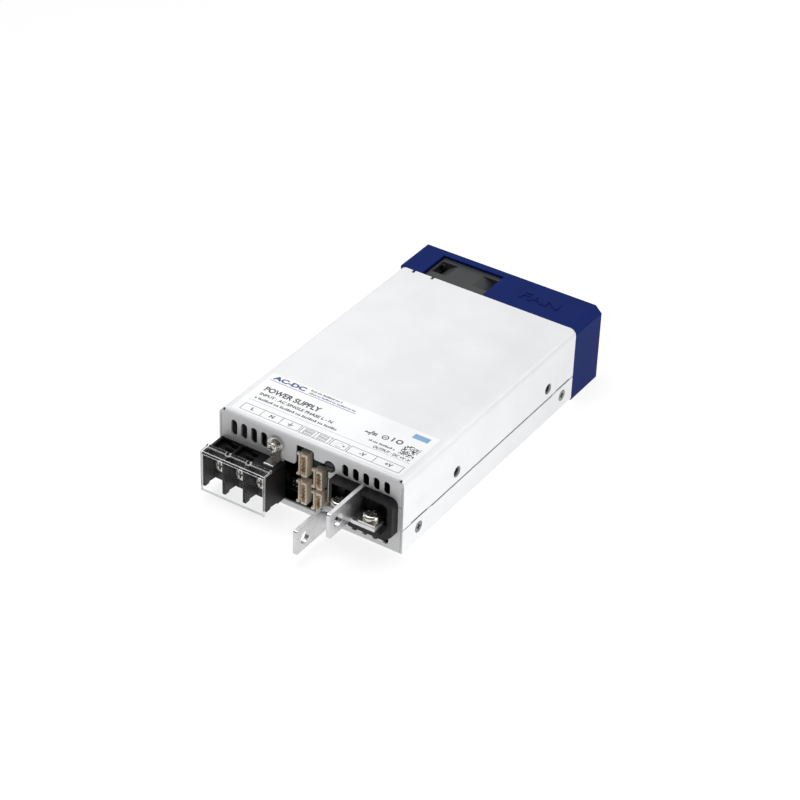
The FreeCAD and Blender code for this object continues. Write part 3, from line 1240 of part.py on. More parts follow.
def transistor(x, y, side):
    """Power transistor with its back on an upright plate and its legs in the board."""
    start, end = (x, x + TRANSISTOR_THICK) if side > 0 else (x - TRANSISTOR_THICK, x)
    low = BOARD_TOP + TRANSISTOR_LIFT
    body = box(start, end, y, y + TRANSISTOR_WIDTH, low, low + TRANSISTOR_HEIGHT)
    middle = (start + end) / 2
    half = TRANSISTOR_LEG / 2
    places = [y + TRANSISTOR_WIDTH * share for share in (0.2, 0.5, 0.8)]
    legs = [box(middle - half, middle + half, leg - half, leg + half, BOARD_TOP, low) for leg in places]
    return join(body, *legs)


def core_windows(x):
    """Left and right sides of the two windows in the transformer's core."""
    first = x + CORE_LEG
    last = x + CORE_WIDTH - CORE_LEG
    return (first, first + CORE_WINDOW), (last - CORE_WINDOW, last)


def transformer_core(x, y):
    """Ferrite core of the main transformer, as two closed windows round the winding."""
    outer = on_board(x, x + CORE_WIDTH, y, y + CORE_LENGTH, CORE_HEIGHT)
    low = BOARD_TOP + CORE_YOKE
    high = BOARD_TOP + CORE_HEIGHT - CORE_YOKE
    windows = [box(x0, x1, y - 1, y + CORE_LENGTH + 1, low, high) for x0, x1 in core_windows(x)]
    return outer.cut(windows)


def transformer_winding(x, y):
    """Wound bobbin round the core's middle leg."""
    left, right = core_windows(x)
    front = y - WINDING_OVERHANG
    rear = y + CORE_LENGTH + WINDING_OVERHANG
    bend = WINDING_ROUNDING
    ring = slab([(left[0], front, bend), (right[1], front, bend), (right[1], rear, bend),
                 (left[0], rear, bend)], "z", BOARD_TOP + CORE_YOKE, BOARD_TOP + CORE_HEIGHT - CORE_YOKE)
    return ring.cut(box(left[1], right[0], y, y + CORE_LENGTH, 0, HEIGHT))


def cap_top_outline(inset, low):
    """Cross-section of the fan cap, with its upper long edges chamfered."""
    cut = CAP_CHAMFER - inset * 0.4
    right = WIDTH - inset
    high = HEIGHT - inset
    return [(inset, low), (right, low), (right, high - cut), (right - cut, high), (inset + cut, high),
            (inset, high - cut)]


def guard(x):
    """Round guard moulded over a fan's outlet: rings, spokes and a middle disc."""
    y0 = CAP_REAR - CAP_REAR_WALL
    y1 = CAP_REAR
    pieces = [rod(GUARD_HUB_R, V(x, y0, FAN_MIDDLE_Z), V(x, y1, FAN_MIDDLE_Z))]
    step = (FAN_BORE_R - GUARD_HUB_R) / (GUARD_RINGS + 1)
    for index in range(GUARD_RINGS):
        radius = GUARD_HUB_R + step * (index + 1)
        start = V(x, y0, FAN_MIDDLE_Z)
        end = V(x, y1, FAN_MIDDLE_Z)
        ring = rod(radius + GUARD_RING_WIDTH / 2, start, end)
        pieces.append(ring.cut(rod(radius - GUARD_RING_WIDTH / 2, start, end)))
    half = GUARD_RING_WIDTH / 2
    spoke = box(x - half, x + half, y0, y1, FAN_MIDDLE_Z - FAN_BORE_R - 0.5, FAN_MIDDLE_Z + FAN_BORE_R + 0.5)
    for index in range(GUARD_SPOKES // 2):
        arm = spoke.copy()
        arm.rotate(V(x, y0, FAN_MIDDLE_Z), V(0, 1, 0), 45 + 180.0 / (GUARD_SPOKES // 2) * index)
        pieces.append(arm)
    return pieces


def fan_pins(x):
    """Moulded pins that enter the fan frame's corner holes."""
    half = FAN_HOLE_PITCH / 2
    pins = []
    for sx in (-1, 1):
        for sz in (-1, 1):
            start = V(x + sx * half, CAP_REAR - CAP_REAR_WALL, FAN_MIDDLE_Z + sz * half)
            pins.append(rod(FAN_HOLE_R - FAN_HOLE_PLAY, start, start - V(0, FAN_SEAT + FAN_FLANGE, 0)))
            pins.append(rod(FAN_HOLE_R + 1.0, start, start - V(0, FAN_SEAT, 0)))
    return pins


def cap_lip():
    """Lip of the cap that enters the metal housing's open rear end."""
    outer = INNER_LEFT + CAP_LIP_GAP
    low = SHEET + FILM + CAP_LIP_GAP
    high = HEIGHT - SHEET - CAP_LIP_GAP
    y0 = DEPTH - CAP_LIP
    y1 = DEPTH + CAP_LIP_WALL
    bend = SIDE_BEND - SHEET
    right = WIDTH - outer
    ring = slab([(outer, low), (right, low), (right, high, bend), (outer, high, bend)], "y", y0, y1)
    wall = CAP_LIP_WALL
    hollow = box(outer + wall, right - wall, y0 - 1, y1 + 1, low + wall, high - wall)
    window = box(CAP_WINDOW_LEFT - CAP_LIP_PAST_WINDOW, CAP_WINDOW_RIGHT, y0 - 1, y1 + 1,
                 high - wall - 1, high + 1)
    return ring.cut([hollow, window])


def fan_cap():
    """Moulded cap over the rear end: walls, top window, fan guards, pins and front lip."""
    outer = slab(cap_top_outline(0, 0), "y", DEPTH, CAP_REAR)
    inner = slab(cap_top_outline(CAP_WALL, CAP_WALL), "y", DEPTH - 1, CAP_REAR - CAP_REAR_WALL)
    window = box(CAP_WINDOW_LEFT, CAP_WINDOW_RIGHT, DEPTH - 1, CAP_WINDOW_REAR,
                 HEIGHT - CAP_WALL - 1, HEIGHT + 1)
    seat = CAP_REAR - CAP_REAR_WALL
    outlets = [rod(FAN_BORE_R, V(x, seat - 1, FAN_MIDDLE_Z), V(x, CAP_REAR + 1, FAN_MIDDLE_Z))
               for x in (FAN_LEFT_X, FAN_RIGHT_X)]
    body = outer.cut([inner, window] + outlets)
    pieces = guard(FAN_LEFT_X) + guard(FAN_RIGHT_X) + fan_pins(FAN_LEFT_X) + fan_pins(FAN_RIGHT_X)
    ledge = slab(cap_top_outline(0, 0), "y", DEPTH, DEPTH + CAP_LIP_WALL)
    opening = box(INNER_LEFT + CAP_LIP_WALL, WIDTH - INNER_LEFT - CAP_LIP_WALL, DEPTH - 1,
                  DEPTH + CAP_LIP_WALL + 1, SHEET + FILM + CAP_LIP_WALL, HEIGHT - SHEET - CAP_LIP_WALL)
    ledge = ledge.cut([opening, window])
    return join(body, cap_lip(), ledge, *pieces)


def fan_frame(x):
    """Square fan frame: flanges, drum, corner walls, bore, struts and the motor base with its bearing."""
    half = FAN_SIZE / 2
    z = FAN_MIDDLE_Z
    square = [(x + half * a, z + half * b, FAN_CORNER) for a, b in ((-1, -1), (1, -1), (1, 1), (-1, 1))]
    full = slab(square, "y", FAN_FRONT, FAN_REAR)
    drum = rod(FAN_DRUM_R, V(x, FAN_FRONT, z), V(x, FAN_REAR, z))
    walls = [box(edge, edge + FAN_SIDE_WALL, FAN_FRONT, FAN_REAR, z - half, z + half)
             for edge in (x - half, x + half - FAN_SIDE_WALL)]
    body = full.common(join(drum, slab(square, "y", FAN_FRONT, FAN_FRONT + FAN_FRONT_FLANGE),
                            slab(square, "y", FAN_REAR - FAN_FLANGE, FAN_REAR), *walls))
    holes = []
    for sx in (-1, 1):
        for sz in (-1, 1):
            spot = V(x + sx * FAN_HOLE_PITCH / 2, FAN_FRONT - 1, z + sz * FAN_HOLE_PITCH / 2)
            holes.append(rod(FAN_HOLE_R, spot, spot + V(0, FAN_DEPTH + 2, 0)))
    body = body.cut(holes + [rod(FAN_BORE_R, V(x, FAN_FRONT - 1, z), V(x, FAN_REAR + 1, z))])
    pieces = [rod(FAN_BASE_R, V(x, FAN_REAR - FAN_BASE, z), V(x, FAN_REAR, z)),
              rod(FAN_TUBE_R, V(x, FAN_REAR - FAN_BASE - FAN_TUBE, z), V(x, FAN_REAR, z))]
    half = FAN_STRUT_WIDTH / 2
    strut = box(x - half, x + half, FAN_REAR - FAN_BASE, FAN_REAR, z, z + FAN_BORE_R + 0.5)
    for index in range(FAN_STRUTS):
        arm = strut.copy()
        arm.rotate(V(x, FAN_REAR, z), V(0, 1, 0), 360.0 / FAN_STRUTS * index + 30)
        pieces.append(arm)
    bore = rod(ROTOR_SHAFT_R + ROTOR_SHAFT_PLAY, V(x, FAN_FRONT, z), V(x, FAN_REAR - FAN_BASE / 2, z))
    return join(body, *pieces).cut(bore)


def blade_section(x, radius, chord, pitch, middle_y):
    """Bowed cross-section of a fan blade at one distance from the shaft."""
    lean = math.radians(pitch)
    along = V(math.cos(lean), math.sin(lean), 0)
    across = V(-math.sin(lean), math.cos(lean), 0)
    centre = V(x, middle_y, FAN_MIDDLE_Z + radius)
    half = chord / 2
    bow = chord * 0.08
    upper = [centre - along * half, centre + across * (bow + BLADE_THICK), centre + along * half]
    lower = [centre + along * half, centre + across * bow, centre - along * half]
    return Part.Wire([Part.Arc(*upper).toShape(), Part.Arc(*lower).toShape()])


def fan_rotor(x):
    """Fan rotor: hub cup, twisted blades and shaft."""
    z = FAN_MIDDLE_Z
    y0 = FAN_FRONT + ROTOR_FRONT_GAP
    y1 = y0 + ROTOR_HUB
    middle = (y0 + y1) / 2
    cup = rod(ROTOR_HUB_R, V(x, y0, z), V(x, y1, z))
    rim = [edge for edge in cup.Edges if abs(edge.CenterOfMass.y - y0) < 1e-6]
    cup = cup.makeFillet(ROTOR_WALL, rim)
    hollow = rod(ROTOR_HUB_R - ROTOR_WALL, V(x, y0 + ROTOR_WALL * 1.2, z), V(x, y1 + 1, z))
    shaft = rod(ROTOR_SHAFT_R, V(x, y0, z), V(x, FAN_REAR - FAN_BASE, z))
    root = blade_section(x, ROTOR_HUB_R - ROTOR_WALL * 0.5, BLADE_CHORD_ROOT, BLADE_PITCH_ROOT, middle)
    tip = blade_section(x, ROTOR_TIP_R + 1, BLADE_CHORD_TIP, BLADE_PITCH_TIP, middle)
    blade = Part.makeLoft([root, tip], True, True)
    blade = blade.common(rod(ROTOR_TIP_R, V(x, FAN_FRONT, z), V(x, FAN_REAR, z)))
    blades = []
    for index in range(BLADE_COUNT):
        copy = blade.copy()
        copy.rotate(V(x, middle, z), V(0, 1, 0), 360.0 / BLADE_COUNT * index)
        blades.append(copy)
    body = join(cup, *blades).cut(hollow)
    return join(body, shaft)


def fuse(x):
    """Tube fuse in its two holders."""
    rear = FUSE_FRONT + FUSE_LENGTH
    axis_z = BOARD_TOP + FUSE_AXIS
    tube = rod(FUSE_R, V(x, FUSE_FRONT, axis_z), V(x, rear, axis_z))
    half = FUSE_HOLDER / 2
    holders = [on_board(x - half, x + half, y, y + FUSE_HOLDER, FUSE_HOLDER_HEIGHT)
               for y in (FUSE_FRONT, rear - FUSE_HOLDER)]
    return join(tube, *holders)


def bulk_capacitors(left_side, right_side):
    """Rows of large capacitors: as many as the space behind the PFC choke has room for."""
    pitch = CAPACITOR_R * 2 + CAPACITOR_BETWEEN
    front = PFC_Y + PFC_R + CAPACITOR_FROM_CHOKE
    columns = int((right_side - left_side + CAPACITOR_BETWEEN) / pitch)
    rows = int((BOARD_REAR - REAR_GAP - front + CAPACITOR_BETWEEN) / pitch)
    return [can_capacitor(left_side + CAPACITOR_R + pitch * column, front + CAPACITOR_R + pitch * row,
                          CAPACITOR_R, CAPACITOR_HEIGHT) for column in range(columns) for row in range(rows)]


def input_side_pieces(left, sink_x, core_x):
    """Pieces between the mains input and the transformer."""
    face_x = sink_x + HEATSINK_THICK
    box_x = left + FILM_BOX_FROM_LEFT
    relay_y = FILM_BOX_FRONT + FILM_BOX_LENGTH + RELAY_FROM_FILM_BOX
    input_sink_rear = INPUT_SINK_FRONT + INPUT_SINK_LENGTH
    bridge_y = INPUT_SINK_FRONT + BRIDGE_FROM_SINK_FRONT
    sink_rear = BOARD_REAR - REAR_GAP
    last = sink_rear - TRANSISTOR_WIDTH
    control_y = CORE_Y + CORE_LENGTH + WINDING_OVERHANG + CONTROL_FROM_WINDING
    yield "fuse", fuse(left + FUSE_FROM_LEFT)
    yield "line_filter_choke", toroid(left + FILTER_FROM_LEFT, FILTER_Y, FILTER_R, FILTER_HOLE_R,
                                      FILTER_HEIGHT)
    yield "x_capacitor", on_board(box_x, box_x + FILM_BOX_WIDTH, FILM_BOX_FRONT,
                                  FILM_BOX_FRONT + FILM_BOX_LENGTH, FILM_BOX_HEIGHT)
    yield "inrush_relay", on_board(box_x, box_x + RELAY_WIDTH, relay_y, relay_y + RELAY_LENGTH, RELAY_HEIGHT)
    yield "input_heatsink", finned_plate(sink_x, INPUT_SINK_FRONT, input_sink_rear, -1)
    yield "bridge_rectifier", on_board(face_x, face_x + BRIDGE_THICK, bridge_y, bridge_y + BRIDGE_LENGTH,
                                       BRIDGE_HEIGHT)
    yield "pfc_choke", toroid(left + PFC_FROM_LEFT, PFC_Y, PFC_R, PFC_HOLE_R, PFC_HEIGHT)
    yield "bulk_capacitors", group(bulk_capacitors(face_x + TRANSISTOR_THICK + TRANSISTOR_GAP,
                                                   core_x - PIECE_GAP))
    yield "primary_heatsink", finned_plate(sink_x, input_sink_rear + PRIMARY_SINK_FROM_INPUT_SINK,
                                           sink_rear, -1)
    yield "primary_transistors", group(transistor(face_x, y, 1)
                                       for y in (last - TRANSISTOR_WIDTH - PIECE_GAP, last))
    yield "control_board", on_board(core_x, core_x + BOARD_THICK, control_y, sink_rear, CONTROL_HEIGHT)


def output_side_pieces(right, plate_x, core_x):
    """Transformer and the pieces between it and the output terminals."""
    pitch = SMALL_CAPACITOR_R * 2 + SMALL_CAPACITOR_BETWEEN
    first_y = OUTPUT_SINK_FRONT + OUTPUT_TRANSISTOR_FROM_FRONT
    second_y = first_y + TRANSISTOR_WIDTH + OUTPUT_TRANSISTOR_BETWEEN
    choke_x = plate_x - TRANSISTOR_THICK - TRANSISTOR_GAP * 2 - OUTPUT_CHOKE_R
    header_x = right - FAN_HEADER_FROM_RIGHT
    header_y = BOARD_REAR - FAN_HEADER_FROM_REAR
    cans = [can_capacitor(right - SMALL_CAPACITOR_R - TRANSISTOR_GAP - pitch * index, SMALL_CAPACITOR_Y,
                          SMALL_CAPACITOR_R, SMALL_CAPACITOR_HEIGHT) for index in range(3)]
    yield "transformer_core", transformer_core(core_x, CORE_Y)
    yield "transformer_winding", transformer_winding(core_x, CORE_Y)
    yield "output_heatsink", finned_plate(plate_x, OUTPUT_SINK_FRONT,
                                          CORE_Y + CORE_LENGTH + OUTPUT_SINK_PAST_CORE, 1)
    yield "output_transistors", group(transistor(plate_x, y, -1) for y in (first_y, second_y))
    yield "output_choke", toroid(choke_x, OUTPUT_CHOKE_Y, OUTPUT_CHOKE_R, OUTPUT_CHOKE_HOLE_R,
                                 OUTPUT_CHOKE_HEIGHT)
    yield "output_capacitors", group(cans)
    yield "fan_header", on_board(header_x - FAN_HEADER_LENGTH, header_x, header_y - FAN_HEADER_WIDTH,
                                 header_y, FAN_HEADER_HEIGHT)


def inner_pieces():
    """Names and shapes of the pieces that stand on the main board."""
    left = BOARD_LEFT + INNER_MARGIN
    right = BOARD_RIGHT - INNER_MARGIN
    plate_x = right - FIN_LENGTH - HEATSINK_THICK
    core_x = plate_x - TRANSISTOR_GAP - CORE_WIDTH
    yield from input_side_pieces(left, left + FIN_LENGTH, core_x)
    yield from output_side_pieces(right, plate_x, core_x)


def pieces():
    """Names and shapes of every sub-part."""
    yield "chassis", chassis()
    yield "top_cover", top_cover()
    yield "side_screws", group(side_screws())
    yield "side_mount_nuts", group(side_mount_nuts())
    yield "ac_terminal_block", ac_terminal_block()
    yield "ac_terminal_cover", ac_terminal_cover()
    yield "ac_terminal_bars", group(ac_bar(i).cut(ac_screw(i)) for i in range(AC_POLES))
    yield "ac_clamp_plates", group(ac_clamp(i) for i in range(AC_POLES))
    yield "ac_terminal_screws", group(ac_screw(i) for i in range(AC_POLES))
    faces = earth_stack()
    yield "earth_plate", earth_plate()
    yield "earth_cup_washer", earth_ring(EARTH_CUP_R, faces[0], faces[1])
    yield "earth_flat_washer", earth_ring(EARTH_WASHER_R, faces[1], faces[2])
    yield "earth_spring_washer", earth_spring_washer()
    yield "earth_screw", earth_screw()
    yield "earth_nut", earth_nut()
    for name, x, z, pins in header_places():
        yield "signal_header_" + name, signal_header(x, z, pins)
    yield "header_pins", group(header_pins())
    yield "signal_board", signal_board()
    yield "trimmer_body", trimmer_body()
    yield "trimmer_rotor", trimmer_rotor()
    yield "output_terminal_base", output_terminal_base()
    yield "busbar_plus", busbar_plus()
    yield "busbar_minus", busbar_minus()
    yield "output_tab_plus", output_tab(PLUS_SCREW_X)
    yield "output_tab_minus", output_tab(MINUS_SCREW_X)
    yield "square_washers", group(square_washer(x) for x in (MINUS_SCREW_X, PLUS_SCREW_X))
    yield "output_screws", group(output_screw(x) for x in (MINUS_SCREW_X, PLUS_SCREW_X))
    yield "main_board", main_board()
    yield "insulation_sheet", insulation_sheet()
    yield "board_standoffs", group(board_standoffs())
    yield "board_screws", group(board_screws())
    for name, shape in inner_pieces():
        yield name, shape
    yield "fan_cap", fan_cap()
    yield "fan_frame_left", fan_frame(FAN_LEFT_X)
    yield "fan_frame_right", fan_frame(FAN_RIGHT_X)
    yield "fan_rotor_left", fan_rotor(FAN_LEFT_X)
    yield "fan_rotor_right", fan_rotor(FAN_RIGHT_X)


def main():
    """Write one file for each sub-part, with the origin under the middle of the housing."""
    os.makedirs("parts", exist_ok=True)
    to_origin = V(-WIDTH / 2, -DEPTH / 2, 0)
    for name, shape in pieces():
        placed = shape.copy()
        placed.translate(to_origin)
        placed.exportStep("parts/" + name + ".step")


main()
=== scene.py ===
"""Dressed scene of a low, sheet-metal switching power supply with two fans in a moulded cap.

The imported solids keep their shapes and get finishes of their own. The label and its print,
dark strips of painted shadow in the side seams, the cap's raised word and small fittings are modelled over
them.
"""

import logging
import math
from contextlib import contextmanager
from dataclasses import dataclass
from enum import Enum, unique
from typing import Callable, Iterator

import bpy
from mathutils import Matrix, Vector


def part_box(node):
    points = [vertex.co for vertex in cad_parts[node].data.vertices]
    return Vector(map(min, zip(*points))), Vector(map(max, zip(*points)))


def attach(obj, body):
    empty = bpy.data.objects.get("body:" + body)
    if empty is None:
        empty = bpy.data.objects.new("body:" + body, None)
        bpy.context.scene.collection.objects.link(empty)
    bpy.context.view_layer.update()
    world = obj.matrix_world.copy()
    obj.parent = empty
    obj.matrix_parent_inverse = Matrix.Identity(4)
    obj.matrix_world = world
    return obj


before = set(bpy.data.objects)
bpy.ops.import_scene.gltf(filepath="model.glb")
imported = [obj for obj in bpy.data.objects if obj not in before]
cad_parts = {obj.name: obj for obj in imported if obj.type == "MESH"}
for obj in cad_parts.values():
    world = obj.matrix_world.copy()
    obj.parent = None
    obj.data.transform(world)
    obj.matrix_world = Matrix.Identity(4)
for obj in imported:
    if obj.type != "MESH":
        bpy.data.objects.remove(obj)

logging.basicConfig(level=logging.INFO, format="%(name)s: %(message)s")
log = logging.getLogger("power_supply")

MM = 0.001
# Corners closer than this, in metres, become one.
MERGE_GAP = 1e-6
# A text of this size has capitals of height 1.
TEXT_SIZE_PER_LETTER_HEIGHT = 1.42
# Bands of a wave texture repeat after this length at scale 1.
WAVE_PERIOD = 0.32
EDGE_SAMPLES = 6
RELIEF_STRENGTH = 0.6
HOUSING = "housing"
RGB = tuple[float, float, float]
Point = tuple[float, float, float]
Bar = tuple[float, float, float, float]


class Direction(Enum):
    """Way in which a metal's grain runs."""

    ALONG_Y = (1.0, 0.04, 1.0)
    ALL_WAYS = (1.0, 1.0, 1.0)


def shaded(colour: RGB, share: float) -> RGB:
    """Colour made lighter or darker by a share."""
    return tuple(min(1.0, part * share) for part in colour)


@dataclass(frozen=True)
class Patches:
    """Change of shade over a surface: size and detail of its patches, and shares of the colour."""

    size_mm: float
    detail: float
    darkest: float
    lightest: float


class NodeSheet:
    """Node tree of one material, with its main shader and short ways to add what feeds it."""

    def __init__(self, name: str) -> None:
        """Start a material with one main shader.

        Args:
            name: Name of the material.
        """
        self.material = bpy.data.materials.new(name)
        self.material.use_nodes = True
        self.tree = self.material.node_tree
        self.shader = self.tree.nodes["Principled BSDF"]
        self.place = self.tree.nodes.new("ShaderNodeTexCoord").outputs["Object"]

    def set(self, **values: float | tuple[float, ...]) -> None:
        """Set the shader's own sockets.

        Args:
            values: Socket names, with underscores for spaces, and their values.
        """
        for name, value in values.items():
            self.shader.inputs[name.replace("_", " ")].default_value = value

    def node(self, kind: str, links: dict | None = None, **values: object) -> bpy.types.Node:
        """Add a node.

        Args:
            kind: Blender's name of the node type.
            links: Input names and the outputs that feed them.
            values: Properties of the node, or values of its inputs.

        Returns:
            The new node.
        """
        made = self.tree.nodes.new(kind)
        for name, value in values.items():
            spaced = name.replace("_", " ")
            if hasattr(made, name):
                setattr(made, name, value)
            else:
                made.inputs[spaced].default_value = value
        for name, source in (links or {}).items():
            self.link(source, made.inputs[name])
        return made

    def link(self, source: bpy.types.NodeSocket, target: bpy.types.NodeSocket) -> None:
        """Link an output to an input."""
        self.tree.links.new(source, target)

    def feed(self, name: str, source: bpy.types.NodeSocket) -> None:
        """Link an output to one of the main shader's sockets."""
        self.link(source, self.shader.inputs[name])

    def noise(self, size_mm: float, stretch: Direction = Direction.ALL_WAYS, detail: float = 3.0,
              rough: float = 0.55) -> bpy.types.NodeSocket:
        """Add a noise whose lumps have a real size.

        Args:
            size_mm: Size of a lump.
            stretch: Way in which the lumps are drawn out.
            detail: Levels of finer noise.
            rough: Strength of the finer noise.

        Returns:
            The noise's factor.
        """
        mapped = self.node("ShaderNodeMapping", {"Vector": self.place}, Scale=stretch.value)
        made = self.node("ShaderNodeTexNoise", {"Vector": mapped.outputs["Vector"]},
                         Scale=1.0 / (size_mm * MM), Detail=detail, Roughness=rough)
        return made.outputs["Fac"]

    def spread(self, factor: bpy.types.NodeSocket, low: float, high: float,
               start: float = 0.3, end: float = 0.7) -> bpy.types.NodeSocket:
        """Turn a factor into a range of values.

        Args:
            factor: Output to read.
            low: Value at the start.
            high: Value at the end.
            start: Factor that gives the low value.
            end: Factor that gives the high value.

        Returns:
            The new value.
        """
        made = self.node("ShaderNodeMapRange", {"Value": factor}, From_Min=start, From_Max=end,
                         To_Min=low, To_Max=high)
        return made.outputs["Result"]

    def blend(self, factor: bpy.types.NodeSocket, first: RGB, second: RGB) -> bpy.types.NodeSocket:
        """Mix two colours by a factor.

        Args:
            factor: Share of the second colour.
            first: Colour at 0.
            second: Colour at 1.

        Returns:
            The mixed colour.
        """
        made = self.node("ShaderNodeMix", data_type="RGBA")
        self.link(factor, made.inputs[0])
        made.inputs[6].default_value = (*first, 1.0)
        made.inputs[7].default_value = (*second, 1.0)
        return made.outputs[2]

    def mix(self, factor: bpy.types.NodeSocket, first: bpy.types.Node,
            second: bpy.types.Node) -> bpy.types.Node:
        """Mix two shaders by a factor.

        Args:
            factor: Share of the second shader.
            first: Shader at 0.
            second: Shader at 1.

        Returns:
            The node of the mixed shader.
        """
        made = self.node("ShaderNodeMixShader", {"Fac": factor})
        self.link(first.outputs[0], made.inputs[1])
        self.link(second.outputs[0], made.inputs[2])
        return made

    def colour_in_patches(self, colour: RGB, patches: Patches) -> None:
        """Colour the surface, a little darker in some places and lighter in others.

        Args:
            colour: Colour of the surface.
            patches: Size and strength of the change.
        """
        cloud = self.spread(self.noise(patches.size_mm, detail=patches.detail), 0.0, 1.0)
        self.feed("Base Color", self.blend(cloud, shaded(colour, patches.darkest),
                                           shaded(colour, patches.lightest)))

    def relief(self, height: bpy.types.NodeSocket, depth_mm: float, edge_mm: float) -> None:
        """Give the surface a fine relief and slightly rounded edges.

        Args:
            height: Output that says how high the surface stands.
            depth_mm: Depth of the relief.
            edge_mm: Radius of the rounded edges.
        """
        edge = self.node("ShaderNodeBevel", Radius=edge_mm * MM, samples=EDGE_SAMPLES)
        bump = self.node("ShaderNodeBump", {"Height": height, "Normal": edge.outputs["Normal"]},
                         Strength=RELIEF_STRENGTH, Distance=depth_mm * MM)
        self.feed("Normal", bump.outputs["Normal"])


@dataclass(frozen=True)
class Coating:
    """Satin powder coat on sheet metal: fine orange peel and a faint change of shade."""

    colour: RGB
    roughness: float = 0.36
    peel_mm: float = 1.1
    peel_depth_mm: float = 0.012
    edge_mm: float = 0.22
    patches: Patches = Patches(26.0, 4.0, 0.955, 1.03)
    rub_mm: float = 9.0
    smoother: float = 0.04
    rougher: float = 0.05
    gloss: float = 0.5

    def build(self, name: str) -> bpy.types.Material:
        """Make the material.

        Args:
            name: Name of the material.

        Returns:
            The finished material.
        """
        sheet = NodeSheet(name)
        sheet.colour_in_patches(self.colour, self.patches)
        rub = sheet.noise(self.rub_mm, detail=4.0)
        sheet.feed("Roughness", sheet.spread(rub, self.roughness - self.smoother,
                                             self.roughness + self.rougher))
        sheet.relief(sheet.noise(self.peel_mm, detail=1.5), self.peel_depth_mm, self.edge_mm)
        sheet.set(Specular_IOR_Level=self.gloss)
        return sheet.material


@dataclass(frozen=True)
class Moulding:
    """Moulded plastic: spark-eroded texture, a faint flow pattern and softened edges."""

    colour: RGB
    roughness: float = 0.5
    grain_mm: float = 0.22
    grain_depth_mm: float = 0.014
    edge_mm: float = 0.16
    glow: float = 0.0
    gloss: float = 0.3
    patches: Patches = Patches(14.0, 2.0, 0.92, 1.06)
    smoother: float = 0.05
    rougher: float = 0.06
    glow_depth_mm: float = 1.2
    glow_colour: RGB = (1.0, 0.9, 0.8)

    def build(self, name: str) -> bpy.types.Material:
        """Make the material.

        Args:
            name: Name of the material.

        Returns:
            The finished material.
        """
        sheet = NodeSheet(name)
        sheet.colour_in_patches(self.colour, self.patches)
        fine = sheet.noise(self.grain_mm, detail=2.0)
        sheet.feed("Roughness", sheet.spread(fine, self.roughness - self.smoother,
                                             self.roughness + self.rougher))
        sheet.relief(fine, self.grain_depth_mm, self.edge_mm)
        sheet.set(Specular_IOR_Level=self.gloss)
        if self.glow:
            sheet.set(Subsurface_Weight=self.glow, Subsurface_Scale=self.glow_depth_mm * MM,
                      Subsurface_Radius=self.glow_colour)
        return sheet.material


@dataclass(frozen=True)
class Plating:
    """Plated metal: fine or drawn grain and a cloudy sheen."""

    colour: RGB
    roughness: float = 0.24
    grain: Direction = Direction.ALL_WAYS
    grain_mm: float = 0.35
    depth_mm: float = 0.004
    edge_mm: float = 0.12
    patches: Patches = Patches(4.0, 4.0, 0.9, 1.04)
    smoothest: float = 0.75
    roughest: float = 1.35

    def build(self, name: str) -> bpy.types.Material:
        """Make the material.

        Args:
            name: Name of the material.

        Returns:
            The finished material.
        """
        sheet = NodeSheet(name)
        sheet.colour_in_patches(self.colour, self.patches)
        grain = sheet.noise(self.grain_mm, self.grain, detail=4.0, rough=0.7)
        sheet.feed("Roughness", sheet.spread(grain, self.roughness * self.smoothest,
                                             self.roughness * self.roughest))
        sheet.relief(grain, self.depth_mm, self.edge_mm)
        sheet.set(Metallic=1.0)
        return sheet.material


@dataclass(frozen=True)
class ClearPlastic:
    """Clear polycarbonate: smooth faces, edges whitened as a painted highlight, and hardly any shadow.

    An edge is where the rounded surface turns away from the flat one. It is clear where the two
    agree by facing_most or more, and as white as the painted highlight's share where they agree by
    facing_least.
    """

    colour: RGB = (0.97, 0.975, 0.98)
    edge_highlight_colour: RGB = (0.96, 0.965, 0.97)
    edge_highlight_share: float = 0.95
    edge_mm: float = 0.55
    edge_samples: int = 8
    facing_least: float = 0.9
    facing_most: float = 0.998
    wave_mm: float = 6.0
    wave_depth_mm: float = 0.004
    corner_mm: float = 0.1
    index: float = 1.12
    gloss: float = 0.14

    def build(self, name: str) -> bpy.types.Material:
        """Make the material.

        Args:
            name: Name of the material.

        Returns:
            The finished material.
        """
        sheet = NodeSheet(name)
        sheet.relief(sheet.noise(self.wave_mm, detail=1.0), self.wave_depth_mm, self.corner_mm)
        sheet.set(Base_Color=(*self.colour, 1.0), Transmission_Weight=1.0, IOR=self.index,
                  Roughness=0.0, Specular_IOR_Level=self.gloss)
        softened = sheet.node("ShaderNodeBevel", Radius=self.edge_mm * MM, samples=self.edge_samples)
        flat = sheet.node("ShaderNodeNewGeometry")
        likeness = sheet.node("ShaderNodeVectorMath", operation="DOT_PRODUCT")
        sheet.link(softened.outputs["Normal"], likeness.inputs[0])
        sheet.link(flat.outputs["Normal"], likeness.inputs[1])
        edge = sheet.spread(likeness.outputs["Value"], self.edge_highlight_share, 0.0, self.facing_least,
                            self.facing_most)
        # White diffuse on the edges is a painted highlight, standing in for light that the edges refract.
        painted_edge_highlight = sheet.node("ShaderNodeBsdfDiffuse", Color=(*self.edge_highlight_colour, 1.0))
        seen = sheet.mix(edge, sheet.shader, painted_edge_highlight)
        ray = sheet.node("ShaderNodeLightPath")
        passing = sheet.node("ShaderNodeBsdfTransparent", Color=(*self.colour, 1.0))
        whole = sheet.mix(ray.outputs["Is Shadow Ray"], seen, passing)
        sheet.link(whole.outputs["Shader"], sheet.tree.nodes["Material Output"].inputs["Surface"])
        return sheet.material


